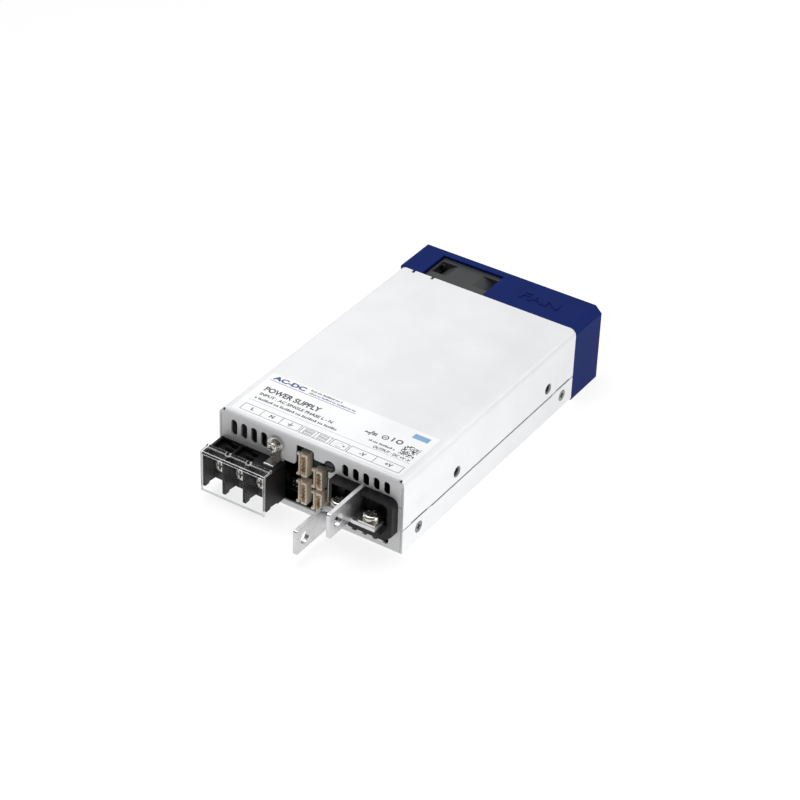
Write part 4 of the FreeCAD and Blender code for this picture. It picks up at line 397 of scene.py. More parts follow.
@dataclass(frozen=True)
class BoardMask:
    """Circuit board: solder mask over runs of copper, with a slight gloss, both darkened as painted shade.
    """

    # Both colours are darkened as painted shade, for a board that lies in the housing's shadow.
    mask: RGB = (0.004, 0.022, 0.011)
    copper: RGB = (0.010, 0.050, 0.022)
    run_mm: float = 4.0
    gap_mm: float = 0.5
    soft: float = 0.2
    slant: float = 0.785
    copper_depth_mm: float = 0.03
    edge_mm: float = 0.1
    roughness: float = 0.35
    gloss: float = 0.35

    def build(self, name: str) -> bpy.types.Material:
        """Make the material.

        Args:
            name: Name of the material.

        Returns:
            The finished material.
        """
        sheet = NodeSheet(name)
        mapped = sheet.node("ShaderNodeMapping", {"Vector": sheet.place},
                            Rotation=(0.0, self.slant, self.slant))
        runs = sheet.node("ShaderNodeTexBrick", {"Vector": mapped.outputs["Vector"]}, Scale=1.0,
                          Brick_Width=self.run_mm * 2 * MM, Row_Height=self.run_mm / 2 * MM,
                          Mortar_Size=self.gap_mm / 2 * MM, Mortar_Smooth=self.soft)
        sheet.feed("Base Color", sheet.blend(runs.outputs["Fac"], self.copper, self.mask))
        sheet.relief(runs.outputs["Fac"], -self.copper_depth_mm, self.edge_mm)
        sheet.set(Roughness=self.roughness, Specular_IOR_Level=self.gloss)
        return sheet.material


@dataclass(frozen=True)
class Winding:
    """Close turns of enamelled wire or tape, seen as fine ridges with painted shade in the grooves between
    them.
    """

    colour: RGB
    pitch_mm: float = 1.1
    roughness: float = 0.35
    unevenness: float = 0.6
    painted_groove_shade: float = 0.45
    ridge_mm: float = 0.25
    edge_mm: float = 0.1

    def build(self, name: str) -> bpy.types.Material:
        """Make the material.

        Args:
            name: Name of the material.

        Returns:
            The finished material.
        """
        sheet = NodeSheet(name)
        turns = sheet.node("ShaderNodeTexWave", {"Vector": sheet.place}, wave_type="BANDS",
                           bands_direction="DIAGONAL", Scale=WAVE_PERIOD / (self.pitch_mm * MM),
                           Distortion=self.unevenness)
        ridge = turns.outputs["Fac"]
        # The grooves between turns get a darker colour: painted shade.
        sheet.feed("Base Color", sheet.blend(ridge, shaded(self.colour, self.painted_groove_shade), self.colour))
        sheet.relief(ridge, self.ridge_mm, self.edge_mm)
        sheet.set(Roughness=self.roughness)
        return sheet.material


@dataclass(frozen=True)
class Print:
    """Ink on the label: a flat colour that is slightly uneven in its strength."""

    colour: RGB
    roughness: float = 0.5
    patch_mm: float = 0.6
    kept: float = 0.8
    paler: float = 0.05

    def build(self, name: str) -> bpy.types.Material:
        """Make the material.

        Args:
            name: Name of the material.

        Returns:
            The finished material.
        """
        sheet = NodeSheet(name)
        patchy = sheet.spread(sheet.noise(self.patch_mm, detail=3.0), 0.0, 1.0)
        thin = tuple(part * self.kept + self.paler for part in self.colour)
        sheet.feed("Base Color", sheet.blend(patchy, self.colour, thin))
        sheet.set(Roughness=self.roughness)
        return sheet.material


WHITE: RGB = (0.815, 0.82, 0.83)
NAVY: RGB = (0.003, 0.0155, 0.122)
BLACK: RGB = (0.007, 0.007, 0.008)


@unique
class Finish(Enum):
    """Finishes of the power supply's pieces. Each material has its finish's name."""

    COATED_SHEET = Coating(WHITE)
    ZINC = Plating((0.47, 0.48, 0.50), 0.3)
    DARK_ZINC = Plating((0.26, 0.265, 0.27), 0.35)
    # Very dark plating for the nuts deep in the side mounting holes is painted shade of the holes.
    NUT_IN_PAINTED_HOLE_SHADE = Plating((0.10, 0.10, 0.105), 0.42)
    NICKEL = Plating((0.62, 0.60, 0.57), 0.2)
    TIN_BAR = Plating((0.66, 0.66, 0.67), 0.32, Direction.ALONG_Y, 0.3, 0.006, 0.25)
    BLACK_MOULDING = Moulding(BLACK, 0.4, edge_mm=0.3, gloss=0.26)
    CLEAR_COVER = ClearPlastic()
    HEADER_NYLON = Moulding((0.96, 0.83, 0.70), 0.42, 0.4, 0.01, 0.15, 0.5)
    GOLD = Plating((0.86, 0.74, 0.55), 0.42)
    BOARD = BoardMask()
    TRIMMER_BODY = Moulding((0.02, 0.022, 0.026), 0.4)
    TRIMMER_DISC = Moulding((0.035, 0.035, 0.037), 0.4)
    CAP_PLASTIC = Moulding(NAVY, 0.55, 0.3, 0.016, 0.3, gloss=0.06)
    FAN_PLASTIC = Moulding((0.045, 0.046, 0.048), 0.45, 0.3, 0.012, 0.2, gloss=0.25)
    ROTOR_PLASTIC = Moulding((0.015, 0.015, 0.017), 0.38, 0.3, 0.008, 0.1)
    FILM = Moulding((0.014, 0.014, 0.015), 0.3)
    ALUMINIUM = Plating((0.60, 0.61, 0.62), 0.35, Direction.ALONG_Y, 0.4, 0.008)
    FERRITE = Moulding((0.03, 0.03, 0.032), 0.6, 0.5, 0.03)
    COPPER_TURNS = Winding((0.36, 0.12, 0.04))
    TAPE_TURNS = Winding((0.55, 0.40, 0.06), 2.4)
    EPOXY = Moulding((0.02, 0.02, 0.02), 0.5)
    # Dark grey for the painted shadow strips in the side seams.
    PAINTED_SEAM_SHADOW = Moulding((0.13, 0.13, 0.135), 0.7, 0.4, 0.03)
    SLEEVE = Moulding((0.018, 0.02, 0.04), 0.25, 2.0, 0.01)
    YELLOW_BOX = Moulding((0.58, 0.38, 0.05), 0.4)
    FIRED_CLAY = Moulding((0.60, 0.58, 0.52), 0.4)
    LABEL_FILM = Coating((0.92, 0.925, 0.935), 0.36, 4.0, 0.004, 0.05)
    DARK_INK = Print((0.022, 0.023, 0.028))
    GREY_INK = Print((0.07, 0.073, 0.08))
    BLUE_INK = Print((0.012, 0.045, 0.22))
    SKY_INK = Print((0.20, 0.42, 0.66))


WORN_BY: dict[Finish, tuple[str, ...]] = {
    Finish.COATED_SHEET: ("chassis", "top_cover"),
    Finish.ZINC: ("earth_nut", "board_standoffs", "board_screws"),
    Finish.DARK_ZINC: ("side_screws",),
    Finish.NUT_IN_PAINTED_HOLE_SHADE: ("side_mount_nuts",),
    Finish.NICKEL: ("ac_clamp_plates", "ac_terminal_screws", "earth_plate", "earth_cup_washer",
                    "earth_flat_washer", "earth_spring_washer", "earth_screw", "square_washers",
                    "output_screws"),
    Finish.TIN_BAR: ("ac_terminal_bars", "busbar_plus", "busbar_minus", "output_tab_plus",
                     "output_tab_minus"),
    Finish.BLACK_MOULDING: ("ac_terminal_block", "output_terminal_base"),
    Finish.CLEAR_COVER: ("ac_terminal_cover",),
    Finish.HEADER_NYLON: ("signal_header_upper_left", "signal_header_lower_left",
                          "signal_header_upper_right", "signal_header_lower_right", "fan_header"),
    Finish.GOLD: ("header_pins",),
    Finish.BOARD: ("signal_board", "main_board", "control_board"),
    Finish.TRIMMER_BODY: ("trimmer_body",),
    Finish.TRIMMER_DISC: ("trimmer_rotor",),
    Finish.CAP_PLASTIC: ("fan_cap",),
    Finish.FAN_PLASTIC: ("fan_frame_left", "fan_frame_right"),
    Finish.ROTOR_PLASTIC: ("fan_rotor_left", "fan_rotor_right"),
    Finish.FILM: ("insulation_sheet",),
    Finish.ALUMINIUM: ("input_heatsink", "primary_heatsink", "output_heatsink"),
    Finish.FERRITE: ("transformer_core",),
    Finish.COPPER_TURNS: ("pfc_choke", "output_choke"),
    Finish.TAPE_TURNS: ("transformer_winding",),
    Finish.EPOXY: ("line_filter_choke", "inrush_relay", "bridge_rectifier", "primary_transistors",
                   "output_transistors"),
    Finish.SLEEVE: ("bulk_capacitors", "output_capacitors"),
    Finish.YELLOW_BOX: ("x_capacitor",),
    Finish.FIRED_CLAY: ("fuse",),
}


class PaintShop:
    """Makes each finish once and gives it to solids and to new pieces."""

    def __init__(self) -> None:
        """Start with no material made."""
        self.made: dict[Finish, bpy.types.Material] = {}

    def material(self, finish: Finish) -> bpy.types.Material:
        """Material of a finish.

        Args:
            finish: Finish that is wanted.

        Returns:
            The material, made at its first use.
        """
        if finish not in self.made:
            self.made[finish] = finish.value.build(finish.name.lower())
        return self.made[finish]

    def dress_solids(self) -> None:
        """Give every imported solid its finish."""
        for finish, nodes in WORN_BY.items():
            for node in nodes:
                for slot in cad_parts[node].material_slots:
                    slot.material = self.material(finish)
            log.info("%s on %s", finish.name.lower(), ", ".join(nodes))

    def dress(self, piece: bpy.types.Object, finish: Finish) -> None:
        """Give a new piece one finish.

        Args:
            piece: Piece to dress.
            finish: Its finish.
        """
        piece.data.materials.clear()
        piece.data.materials.append(self.material(finish))


def nothing_selected() -> None:
    """Deselect all objects."""
    bpy.ops.object.select_all(action="DESELECT")


def choose(piece: bpy.types.Object) -> None:
    """Select one piece alone and make it the active one.

    Args:
        piece: Piece to select.
    """
    nothing_selected()
    piece.select_set(True)
    bpy.context.view_layer.objects.active = piece


@contextmanager
def editing(piece: bpy.types.Object) -> Iterator[None]:
    """Edit one piece's mesh, then return to object mode.

    Args:
        piece: Piece to edit.

    Returns:
        Nothing, while the piece is open for editing.
    """
    choose(piece)
    bpy.ops.object.mode_set(mode="EDIT")
    yield
    bpy.ops.object.mode_set(mode="OBJECT")


def settle(piece: bpy.types.Object) -> None:
    """Move a piece's place and size into its mesh."""
    choose(piece)
    bpy.ops.object.transform_apply(location=True, rotation=True, scale=True)


def join_pieces(name: str, pieces: list[bpy.types.Object]) -> bpy.types.Object:
    """Make one object of several.

    Args:
        name: Name of the joined object.
        pieces: Objects to join.

    Returns:
        The joined object.
    """
    nothing_selected()
    for piece in pieces:
        piece.select_set(True)
    bpy.context.view_layer.objects.active = pieces[0]
    if len(pieces) > 1:
        bpy.ops.object.join()
    joined = bpy.context.view_layer.objects.active
    joined.name = name
    joined.data.name = name
    return joined


def block(name: str, low: Point, high: Point) -> bpy.types.Object:
    """Block between two corners, in metres, with its place in its mesh.

    Args:
        name: Name of the block.
        low: Lowest corner.
        high: Highest corner.

    Returns:
        The block.
    """
    nothing_selected()
    middle = [(a + b) / 2 for a, b in zip(low, high)]
    bpy.ops.mesh.primitive_cube_add(size=1.0, location=middle, scale=[b - a for a, b in zip(low, high)])
    piece = bpy.context.active_object
    piece.name = name
    settle(piece)
    return piece


def lettering(text: str, place: Point, high: float, thick: float, bold: float = 0.0,
              width: float = 0.0) -> bpy.types.Object:
    """Flat words with a thickness, lying upwards.

    Args:
        text: What the words say.
        place: Middle of the words in metres, or their left end if they have a width.
        high: Height of the letters in millimetres.
        thick: Thickness of the letters in millimetres.
        bold: Extra width of the strokes in millimetres.
        width: Whole length in millimetres, or 0 to leave it as it comes.

    Returns:
        The words as a mesh.
    """
    nothing_selected()
    bpy.ops.object.text_add(location=place)
    piece = bpy.context.active_object
    piece.data.body = text
    piece.data.size = high * MM * TEXT_SIZE_PER_LETTER_HEIGHT
    piece.data.align_x = "LEFT" if width else "CENTER"
    piece.data.align_y = "CENTER"
    piece.data.offset = bold * MM
    piece.data.extrude = thick * MM / 2
    piece.data.resolution_u = 3
    bpy.ops.object.convert(target="MESH")
    piece = bpy.context.active_object
    if width:
        piece.scale.x = width * MM / piece.dimensions.x
    settle(piece)
    return piece


def folded(piece: bpy.types.Object, chosen: Callable[[Vector], bool], shift: Point) -> bpy.types.Object:
    """Move some corners of a piece and merge those that meet.

    Args:
        piece: Piece to change.
        chosen: Says of a corner whether it moves.
        shift: Way that the corners move, in metres.

    Returns:
        The same piece.
    """
    for corner in piece.data.vertices:
        corner.select = chosen(corner.co)
    for group in (piece.data.edges, piece.data.polygons):
        for part in group:
            part.select = all(piece.data.vertices[index].select for index in part.vertices)
    with editing(piece):
        bpy.ops.transform.translate(value=shift)
        bpy.ops.mesh.select_all(action="SELECT")
        bpy.ops.mesh.remove_doubles(threshold=MERGE_GAP)
    return piece


def rounded(piece: bpy.types.Object, radius: float, segments: int = 3) -> bpy.types.Object:
    """Round a piece's edges.

    Args:
        piece: Piece to round.
        radius: Radius in metres.
        segments: Facets of each rounding.

    Returns:
        The same piece.
    """
    edge = piece.modifiers.new("rounding", "BEVEL")
    edge.width = radius
    edge.segments = segments
    edge.limit_method = "ANGLE"
    choose(piece)
    bpy.ops.object.modifier_apply(modifier=edge.name)
    return piece


@dataclass
class Fitting:
    """Sub-assembly that is made over the solids and stays fixed to the housing."""

    shop: PaintShop

    def fit(self, piece: bpy.types.Object, finish: Finish, slot: str) -> None:
        """Dress a new piece and fix it to the housing.

        Args:
            piece: Piece to fit.
            finish: Its finish.
            slot: Name of a material slot; not used.
        """
        self.shop.dress(piece, finish)
        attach(piece, HOUSING)
        log.info("%s in %s", piece.name, finish.name.lower())


@dataclass(frozen=True)
class Words:
    """Printed words: their middle, or left end if they have a whole width, and their strokes."""

    text: str
    x: float
    y: float
    high: float
    bold: float = 0.0
    width: float = 0.0


@dataclass(frozen=True)
class SmallPrint:
    """Line of print that can't be read: its ends, middle and height, and a number that varies it.

    The rest are shares of its height: the narrowest letter, the step to a wider one, a short
    letter's height, the gaps after a letter and a word, and the least room for one more letter.
    """

    x0: float
    x1: float
    y: float
    high: float
    seed: int
    narrowest: float = 0.34
    wider: float = 0.045
    short: float = 0.72
    gap: float = 0.2
    word_gap: float = 0.62
    least_end: float = 0.4


@dataclass
class PrintedLabel(Fitting):
    """Printed film on the cover's top, at the terminal end.

    Sizes are in millimetres, from the cover's left edge and its front edge. A bar is given by
    its left and right ends and its front and rear edges.
    """

    left: float = 4.6
    right: float = 97.2
    front: float = 2.6
    rear: float = 37.0
    corner: float = 1.2
    film: float = 0.05
    ink: float = 0.012
    row_front: float = 4.4
    row_rear: float = 9.6
    rule_width: float = 0.29
    groups: tuple[tuple[float, ...], ...] = ((8.3, 19.2, 29.9, 40.2), (41.2, 49.0, 56.9), (58.0, 66.2),
                                             (67.2, 81.0, 95.4))
    letters: tuple[tuple[str, float], ...] = (("L", 13.8), ("N", 24.6), ("-V", 74.4), ("+V", 88.3))
    letter_height: float = 2.3
    letter_bold: float = 0.11
    earth_sign_middle: float = 35.1
    header_sign_middles: tuple[float, ...] = (45.1, 52.9)
    trimmer_sign_middle: float = 62.1
    long_rule: Bar = (7.2, 95.6, 13.1, 13.24)
    blue_bar: Bar = (6.2, 54.4, 31.17, 31.5)
    sky_bar: Bar = (85.4, 93.8, 30.8, 34.4)
    headings: tuple[Words, ...] = (
        Words("POWER SUPPLY", 8.6, 24.0, 3.5, 0.17, 31.0),
        Words("INPUT : AC SINGLE PHASE L - N", 9.0, 19.4, 1.9, 0.09, 40.5),
        Words("OUTPUT : DC +V -V", 75.0, 14.9, 1.8, 0.09, 19.6))
    small_lines: tuple[SmallPrint, ...] = (
        SmallPrint(9.0, 55.0, 15.8, 1.6, 2), SmallPrint(70.6, 85.0, 18.3, 1.4, 4),
        SmallPrint(27.0, 45.0, 35.2, 1.3, 5))
    plain_marks: tuple[Words, ...] = (
        Words("~/=", 65.4, 22.9, 3.6, 0.2, 6.2), Words("O", 75.8, 23.6, 3.3, 0.06),
        Words("=", 75.8, 23.6, 1.5, 0.06), Words("I O", 79.0, 24.3, 3.2, 0.18, 5.6))
    blue_line: SmallPrint = SmallPrint(27.4, 53.4, 33.0, 1.1, 6)
    blue_heading: Words = Words("AC-DC", 7.2, 33.9, 2.9, 0.2, 18.0)
    code_left: float = 86.7
    code_front: float = 16.9
    code_side: float = 8.0
    code_cells: int = 15
    code_dark: tuple[int, ...] = (0, 2, 3, 6, 8)

    def __post_init__(self) -> None:
        """Read where the cover's top and corner lie."""
        low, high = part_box("top_cover")
        self.origin = Vector((low.x, low.y, high.z))
        self.row_middle = (self.row_front + self.row_rear) / 2

    def at(self, x: float, y: float, lift: float = 0.0) -> Point:
        """Point on the cover's top.

        Args:
            x: Distance from the left edge.
            y: Distance from the front edge.
            lift: Height over the sheet metal.

        Returns:
            The point in metres.
        """
        return tuple(self.origin + Vector((x, y, lift)) * MM)

    def bar(self, x0: float, x1: float, y0: float, y1: float) -> bpy.types.Object:
        """Printed bar between two corners."""
        return block("bar", self.at(x0, y0, self.film), self.at(x1, y1, self.film + self.ink))

    def frame_of(self, x0: float, x1: float, y0: float, y1: float) -> list[bpy.types.Object]:
        """Four rules round a cell.

        Args:
            x0: Left edge.
            x1: Right edge.
            y0: Front edge.
            y1: Rear edge.

        Returns:
            The rules.
        """
        half = self.rule_width / 2
        across = [self.bar(x0 - half, x1 + half, y - half, y + half) for y in (y0, y1)]
        return across + [self.bar(x - half, x + half, y0, y1) for x in (x0, x1)]

    def words(self, words: Words) -> bpy.types.Object:
        """Printed words as a mesh."""
        return lettering(words.text, self.at(words.x, words.y, self.film), words.high, self.ink,
                         words.bold, words.width)

    def greeked(self, line: SmallPrint) -> list[bpy.types.Object]:
        """Line of small print that can't be read: short bars with word gaps.

        Args:
            line: Ends, place and letters of the line.

        Returns:
            The bars.
        """
        bars = []
        x = line.x0
        foot = line.y - line.high / 2
        step = 0
        while x < line.x1 - line.high * line.least_end:
            turn = (line.seed * 37 + step * 53) % 11
            width = line.high * (line.narrowest + line.wider * (turn % 5))
            tall = line.high * (line.short if turn % 3 else 1.0)
            bars.append(self.bar(x, min(x + width, line.x1), foot, foot + tall))
            x += width + line.high * (line.word_gap if turn in (3, 8) else line.gap)
            step += 1
        return bars

    def build_film(self) -> bpy.types.Object:
        """White film with rounded corners.

        Returns:
            The film.
        """
        film = block("label_film", self.at(self.left, self.front),
                     self.at(self.right, self.rear, self.film))
        with editing(film):
            bpy.ops.mesh.select_all(action="DESELECT")
            bpy.ops.mesh.select_mode(type="EDGE")
            bpy.ops.object.mode_set(mode="OBJECT")
            for edge in film.data.edges:
                ends = [film.data.vertices[index].co for index in edge.vertices]
                edge.select = abs(ends[0].z - ends[1].z) > self.film * MM / 2
            bpy.ops.object.mode_set(mode="EDIT")
            bpy.ops.mesh.bevel(offset=self.corner * MM, segments=6, affect="EDGES")
        return film

    def earth_sign(self) -> list[bpy.types.Object]:
        """Protective earth sign: three rules under a stem.

        Returns:
            The bars of the sign.
        """
        middle, base, stem, step = self.earth_sign_middle, self.row_middle, 1.7, 0.62
        wide = self.rule_width * 1.4
        bars = [self.bar(middle - wide / 2, middle + wide / 2, base, base + stem)]
        for index, half in enumerate((1.5, 1.0, 0.45)):
            y = base - index * step
            bars.append(self.bar(middle - half, middle + half, y - wide / 2, y + wide / 2))
        return bars

    def header_signs(self) -> list[bpy.types.Object]:
        """Small drawings of the two header columns: paired pin fields.

        Returns:
            The bars of the drawings.
        """
        bars = []
        off_middle, half_width, half_height = 1.05, 2.3, 0.75
        first, pitch, half_pin, off_row = 1.6, 0.8, 0.14, 0.3
        for middle in self.header_sign_middles:
            for row in (-1, 1):
                y = self.row_middle + row * off_middle
                bars += self.frame_of(middle - half_width, middle + half_width, y - half_height,
                                      y + half_height)
                for pin in range(5):
                    x = middle - first + pin * pitch
                    bars += [self.bar(x - half_pin, x + half_pin, y + side - half_pin, y + side + half_pin)
                             for side in (-off_row, off_row)]
        return bars

    def trimmer_sign(self) -> list[bpy.types.Object]:
        """Drawing of a turning screw: an arc of short bars with a dot and a rule.

        Returns:
            The pieces of the drawing.
        """
        middle, base = self.trimmer_sign_middle, self.row_front + 1.5
        across, along, half_width, half_height = 2.5, 2.3, 0.16, 0.12
        first, sweep, steps = 20, 140, 12
        pieces = []
        for index in range(steps + 1):
            turn = math.radians(first + index * sweep / steps)
            x = middle + across * math.cos(turn)
            y = base + along * math.sin(turn)
            pieces.append(self.bar(x - half_width, x + half_width, y - half_height, y + half_height))
        pieces.append(self.bar(middle + 1.7, middle + 2.7, base + 0.7, base + 1.5))
        pieces.append(self.bar(middle - 1.6, middle + 1.6, base - 0.55, base - 0.3))
        return pieces

    def code_block(self) -> list[bpy.types.Object]:
        """Square field of dark and light cells, with no message in it.

        Returns:
            The dark cells.
        """
        cells = []
        step = self.code_side / self.code_cells
        for column in range(self.code_cells):
            for row in range(self.code_cells):
                mixed = (column * 7 + row * 13 + column * row * 5 + (column ^ row) * 3) % 11
                if mixed in self.code_dark:
                    x = self.code_left + column * step
                    y = self.code_front + row * step
                    cells.append(self.bar(x, x + step, y, y + step))
        return cells

    def cell_rules(self) -> list[bpy.types.Object]:
        """Rules round the groups of terminal names, and between the names.

        Returns:
            The rules.
        """
        rules = []
        half = self.rule_width / 2
        for edges in self.groups:
            rules += self.frame_of(edges[0], edges[-1], self.row_front, self.row_rear)
            rules += [self.bar(x - half, x + half, self.row_front, self.row_rear) for x in edges[1:-1]]
        return rules

    def fit_print(self, name: str, pieces: list[bpy.types.Object], finish: Finish) -> None:
        """Make one piece of some print and fit it to the cover."""
        self.fit(join_pieces(name, pieces), finish, "housing_white")

    def build(self) -> None:
        """Make the film and all its print."""
        self.fit(self.build_film(), Finish.LABEL_FILM, "housing_white")
        rules = self.cell_rules() + [self.bar(*self.long_rule)]
        rules += self.earth_sign() + self.header_signs() + self.trimmer_sign()
        self.fit_print("label_rules", rules, Finish.GREY_INK)
        letters = [self.words(Words(text, x, self.row_middle, self.letter_height, self.letter_bold))
                   for text, x in self.letters]
        self.fit_print("label_letters", letters, Finish.DARK_INK)
        lines = [self.words(heading) for heading in self.headings]
        for line in self.small_lines:
            lines += self.greeked(line)
        lines += self.code_block() + [self.words(mark) for mark in self.plain_marks]
        self.fit_print("label_small_print", lines, Finish.DARK_INK)
        blue = [self.bar(*self.blue_bar), *self.greeked(self.blue_line), self.words(self.blue_heading)]
        self.fit_print("label_blue_print", blue, Finish.BLUE_INK)
        self.fit_print("label_sky_bar", [self.bar(*self.sky_bar)], Finish.SKY_INK)


@dataclass
class SeamShadowStrips(Fitting):
    """Dark strip in each side seam, between the base pan's edge and the cover's: painted shadow of the
    seam.

    Sizes are in millimetres, from the housing's foot, the side's outer face and the cover's ends.
    """

    seam: float = 14.3
    height: float = 0.56
    recess: float = 0.12
    thick: float = 0.8
    from_front: float = 1.6
    from_rear: float = 1.4
    wall_front: float = 24.3
    wall_rear: float = 19.8
    wedge: float = 0.36
    clear: float = 0.02

    def strip(self, outer: float, inward: float, y0: float, y1: float, low: float,
              high: float) -> bpy.types.Object:
        """One strip of painted seam shadow.

        Args:
            outer: Place of the side's outer face, in metres.
            inward: Direction into the housing, 1 or -1.
            y0: Front end, in metres.
            y1: Rear end, in metres.
            low: Lower edge in millimetres.
            high: Upper edge in millimetres.

        Returns:
            The strip.
        """
        sides = sorted((outer + inward * self.recess * MM,
                        outer + inward * (self.recess + self.thick) * MM))
        return block("strip", (sides[0], y0, low * MM), (sides[1], y1, high * MM))

    def wedge_strip(self, outer: float, inward: float, y0: float, y1: float,
                    high: float) -> bpy.types.Object:
        """Strip whose lower face follows the pan's joggled wall.

        Args:
            outer: Place of the side's outer face, in metres.
            inward: Direction into the housing, 1 or -1.
            y0: Front end, in metres.
            y1: Rear end, in metres.
            high: Upper edge in millimetres.

        Returns:
            The strip.
        """
        piece = self.strip(outer, inward, y0, y1, high - self.wedge, high)
        deep = outer + inward * (self.recess + self.thick / 2) * MM
        middle = (high - self.wedge / 2) * MM
        return folded(piece, lambda corner: (corner.x - deep) * inward > 0 and corner.z < middle,
                      (0.0, 0.0, (self.wedge - self.clear) * MM))

    def build(self) -> None:
        """Make both sides' strips of painted seam shadow."""
        low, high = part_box("top_cover")
        front, rear = low.y, high.y
        foot = self.seam - self.height - self.clear
        strips = []
        for outer, inward in ((low.x, 1.0), (high.x, -1.0)):
            strips.append(self.strip(outer, inward, front + self.from_front * MM,
                                     rear - self.from_rear * MM, foot, self.seam - self.clear))
            strips.append(self.wedge_strip(outer, inward, front + self.wall_front * MM,
                                           rear - self.wall_rear * MM, foot))
        # These dark strips are painted shadow along the side seams.
        self.fit(join_pieces("painted_seam_shadows", strips), Finish.PAINTED_SEAM_SHADOW, "black_moulding")


@dataclass
class CapTrim(Fitting):
    """Square upper left edge of the fan cap and the plain raised word on its top.

    Sizes are in millimetres, from the cap's left and upper faces and the cover's rear edge. Half
    of the word's thickness stands out of the cap.
    """

    edge: float = 3.5
    word: str = "FAN"
    word_left: float = 62.2
    word_middle: float = 12.4
    word_height: float = 6.2
    word_length: float = 22.0
    word_bold: float = 0.2
    word_thick: float = 0.6

    def build(self) -> None:
        """Make the edge and the word."""
        low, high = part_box("fan_cap")
        _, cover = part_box("top_cover")
        inner = low.x + self.edge * MM
        under = high.z - self.edge * MM
        edge = block("cap_left_edge", (low.x, cover.y, under), (inner, high.y, high.z))
        folded(edge, lambda corner: corner.x > inner - MM and corner.z < under + MM,
               (0.0, 0.0, self.edge * MM))
        self.fit(edge, Finish.CAP_PLASTIC, "cap_navy")
        place = (low.x + self.word_left * MM, cover.y + self.word_middle * MM, high.z)
        word = lettering(self.word, place, self.word_height, self.word_thick, self.word_bold,
                         self.word_length)
        word.name = "cap_word"
        self.fit(word, Finish.CAP_PLASTIC, "cap_navy")


@dataclass
class TestPins(Fitting):
    """Four pins in a small black block on the main board, seen through the front opening.

    Sizes are in millimetres, from the housing's middle and the board's front edge and top.
    """

    middle: float = -12.35
    pitch: float = 2.0
    body_width: float = 4.6
    body_height: float = 5.4
    body_depth: float = 3.4
    set_back: float = 0.8
    reach: float = 0.9
    pin: float = 0.62
    first_row: float = 1.9
    body_rounding: float = 0.25
    pin_rounding: float = 0.16

    def build(self) -> None:
        """Make the block and its pins."""
        low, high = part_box("main_board")
        top, front = high.z, low.y + self.set_back * MM
        half = self.body_width / 2
        body = block("test_pin_body", ((self.middle - half) * MM, front, top),
                     ((self.middle + half) * MM, front + self.body_depth * MM, top + self.body_height * MM))
        self.fit(rounded(body, self.body_rounding * MM), Finish.EPOXY, "black_moulding")
        pins = []
        side = self.pin * MM / 2
        for column in (-0.5, 0.5):
            for row in (0.0, 1.0):
                x = (self.middle + column * self.pitch) * MM
                z = top + (self.first_row + row * self.pitch) * MM
                pin = block("pin", (x - side, front - self.reach * MM, z - side),
                            (x + side, front, z + side))
                pins.append(rounded(pin, self.pin_rounding * MM, 2))
        self.fit(join_pieces("test_pins", pins), Finish.TIN_BAR, "pin_gold")


@dataclass
class FanRivets(Fitting):
    """Black push rivets on the cap's pegs, which hold the two fans at their rear flanges.

    Sizes are in millimetres, from the outer faces of the fan frames.
    """

    flange: float = 4.02
    from_edge: float = 3.0
    radius: float = 2.1
    height: float = 1.3
    dome: float = 0.7

    def head(self, place: Point) -> bpy.types.Object:
        """One domed head, facing forwards and backwards alike.

        Args:
            place: Its middle, in metres.

        Returns:
            The head.
        """
        nothing_selected()
        bpy.ops.mesh.primitive_cylinder_add(vertices=32, radius=self.radius * MM, depth=self.height * MM,
                                            location=place, rotation=(math.radians(90), 0.0, 0.0))
        made = bpy.context.active_object
        settle(made)
        return rounded(made, self.dome * MM, 4)

    def build(self) -> None:
        """Make a domed head at each corner of both fans."""
        heads = []
        for node in ("fan_frame_left", "fan_frame_right"):
            low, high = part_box(node)
            inset = self.from_edge * MM
            y = high.y - (self.flange + self.height / 2) * MM
            for x in (low.x + inset, high.x - inset):
                for z in (low.z + inset, high.z - inset):
                    heads.append(self.head((x, y, z)))
        self.fit(join_pieces("fan_rivets", heads), Finish.EPOXY, "black_moulding")


@dataclass(frozen=True)
class Softbox:
    """Square area light: place, point that it faces, width and power."""

    name: str
    place: Point
    aim: Point
    size: float
    power: float


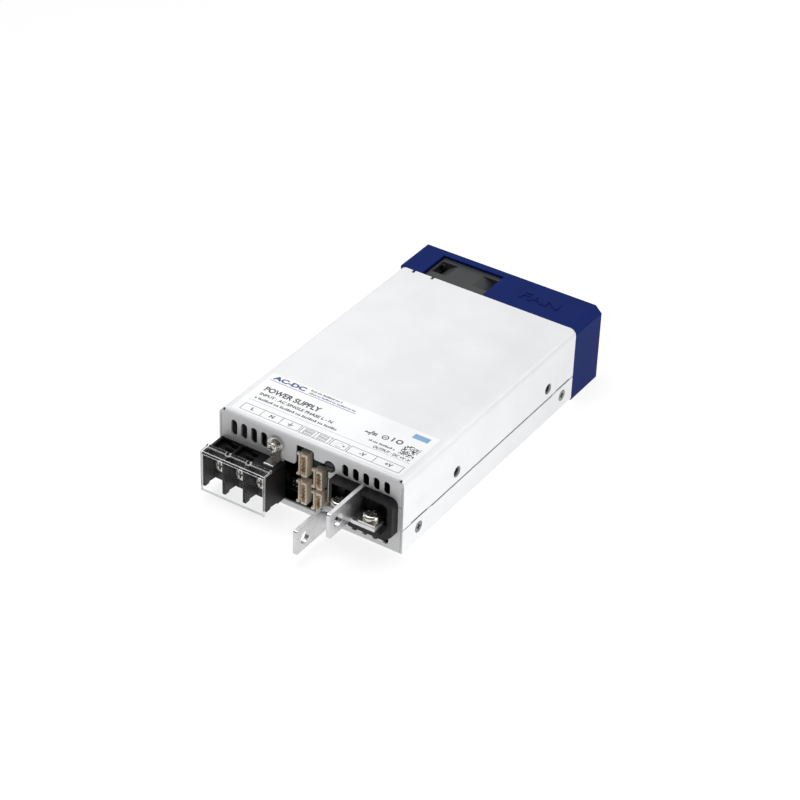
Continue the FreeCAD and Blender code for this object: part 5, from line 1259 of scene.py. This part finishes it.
@dataclass
class Studio:
    """Bright floor, soft sky, softboxes and the camera."""

    floor_size: float = 6.0
    floor_shade: float = 0.28
    floor_glow: float = 0.81
    sky_level: float = 0.27
    sky_least: float = 0.03
    sky_slope: Point = (-0.05, 0.55, 0.42)
    eye: Point = (0.5191, -0.8326, 0.6993)
    bearing: float = 31.98
    dip: float = 34.61
    roll: float = 2.132
    lens: float = 112.757
    sensor: float = 36.0
    nearest: float = 0.01
    softboxes: tuple[Softbox, ...] = (
        Softbox("overhead", (-0.11, -0.01, 0.36), (-0.05, -0.01, 0.0), 0.2, 0.58),
        Softbox("low_right", (0.5, -0.12, 0.1), (0.1, -0.6, 0.0), 0.2, 1.3),
        Softbox("rear_right", (0.52, 0.62, 0.4), (0.05, 0.0, 0.04), 0.12, 0.9))

    def build_floor(self) -> None:
        """Lay a bright floor under the housing, like a lit table."""
        nothing_selected()
        bpy.ops.mesh.primitive_plane_add(size=self.floor_size, location=(0.0, 0.0, 0.0))
        floor = bpy.context.active_object
        floor.name = "floor"
        sheet = NodeSheet("pale_floor")
        sheet.set(Base_Color=(*(self.floor_shade,) * 3, 1.0), Roughness=0.9, Specular_IOR_Level=0.0,
                  Emission_Color=(1.0, 1.0, 1.0, 1.0), Emission_Strength=self.floor_glow)
        floor.data.materials.append(sheet.material)

    def build_lights(self) -> None:
        """Hang the softboxes."""
        for box in self.softboxes:
            nothing_selected()
            bpy.ops.object.light_add(type="AREA", location=box.place)
            light = bpy.context.active_object
            light.name = box.name
            light.data.size = box.size
            light.data.energy = box.power
            facing = Vector(box.aim) - Vector(box.place)
            light.rotation_euler = facing.to_track_quat("-Z", "Y").to_euler()

    def build_sky(self) -> None:
        """Surround the scene with soft light, bright above and behind and dim at the front."""
        world = bpy.data.worlds.new("studio")
        bpy.context.scene.world = world
        world.use_nodes = True
        tree = world.node_tree
        back = tree.nodes["Background"]
        where = tree.nodes.new("ShaderNodeTexCoord")
        slope = tree.nodes.new("ShaderNodeVectorMath")
        slope.operation = "DOT_PRODUCT"
        slope.inputs[1].default_value = self.sky_slope
        level = tree.nodes.new("ShaderNodeMath")
        level.operation = "ADD"
        level.inputs[1].default_value = self.sky_level
        floor = tree.nodes.new("ShaderNodeMath")
        floor.operation = "MAXIMUM"
        floor.inputs[1].default_value = self.sky_least
        tree.links.new(where.outputs["Generated"], slope.inputs[0])
        tree.links.new(slope.outputs["Value"], level.inputs[0])
        tree.links.new(level.outputs["Value"], floor.inputs[0])
        tree.links.new(floor.outputs["Value"], back.inputs["Strength"])
        back.inputs["Color"].default_value = (1.0, 1.0, 1.0, 1.0)

    def build_camera(self) -> None:
        """Place the camera as the photograph was taken."""
        turn, dip, roll = (math.radians(angle) for angle in (self.bearing, self.dip, self.roll))
        ahead = Vector((-math.sin(turn) * math.cos(dip), math.cos(turn) * math.cos(dip), -math.sin(dip)))
        right = Vector((math.cos(turn), math.sin(turn), 0.0))
        up = right.cross(ahead)
        level_right = right * math.cos(roll) + up * math.sin(roll)
        level_up = up * math.cos(roll) - right * math.sin(roll)
        facing = Matrix((level_right, level_up, -ahead)).transposed().to_4x4()
        data = bpy.data.cameras.new("camera")
        data.lens = self.lens
        data.sensor_width = self.sensor
        data.clip_start = self.nearest
        camera = bpy.data.objects.new("camera", data)
        bpy.context.scene.collection.objects.link(camera)
        camera.matrix_world = Matrix.Translation(self.eye) @ facing
        bpy.context.scene.camera = camera

    def build(self) -> None:
        """Set up floor, lights, sky and camera."""
        self.build_floor()
        self.build_lights()
        self.build_sky()
        self.build_camera()
        bpy.context.scene.view_settings.view_transform = "Standard"
        log.info("studio ready")


def main() -> None:
    """Dress the solids, add the pieces that they leave out and set up the studio."""
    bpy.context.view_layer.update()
    shop = PaintShop()
    shop.dress_solids()
    PrintedLabel(shop).build()
    SeamShadowStrips(shop).build()
    CapTrim(shop).build()
    TestPins(shop).build()
    FanRivets(shop).build()
    Studio().build()


if __name__ == "__main__":
    main()
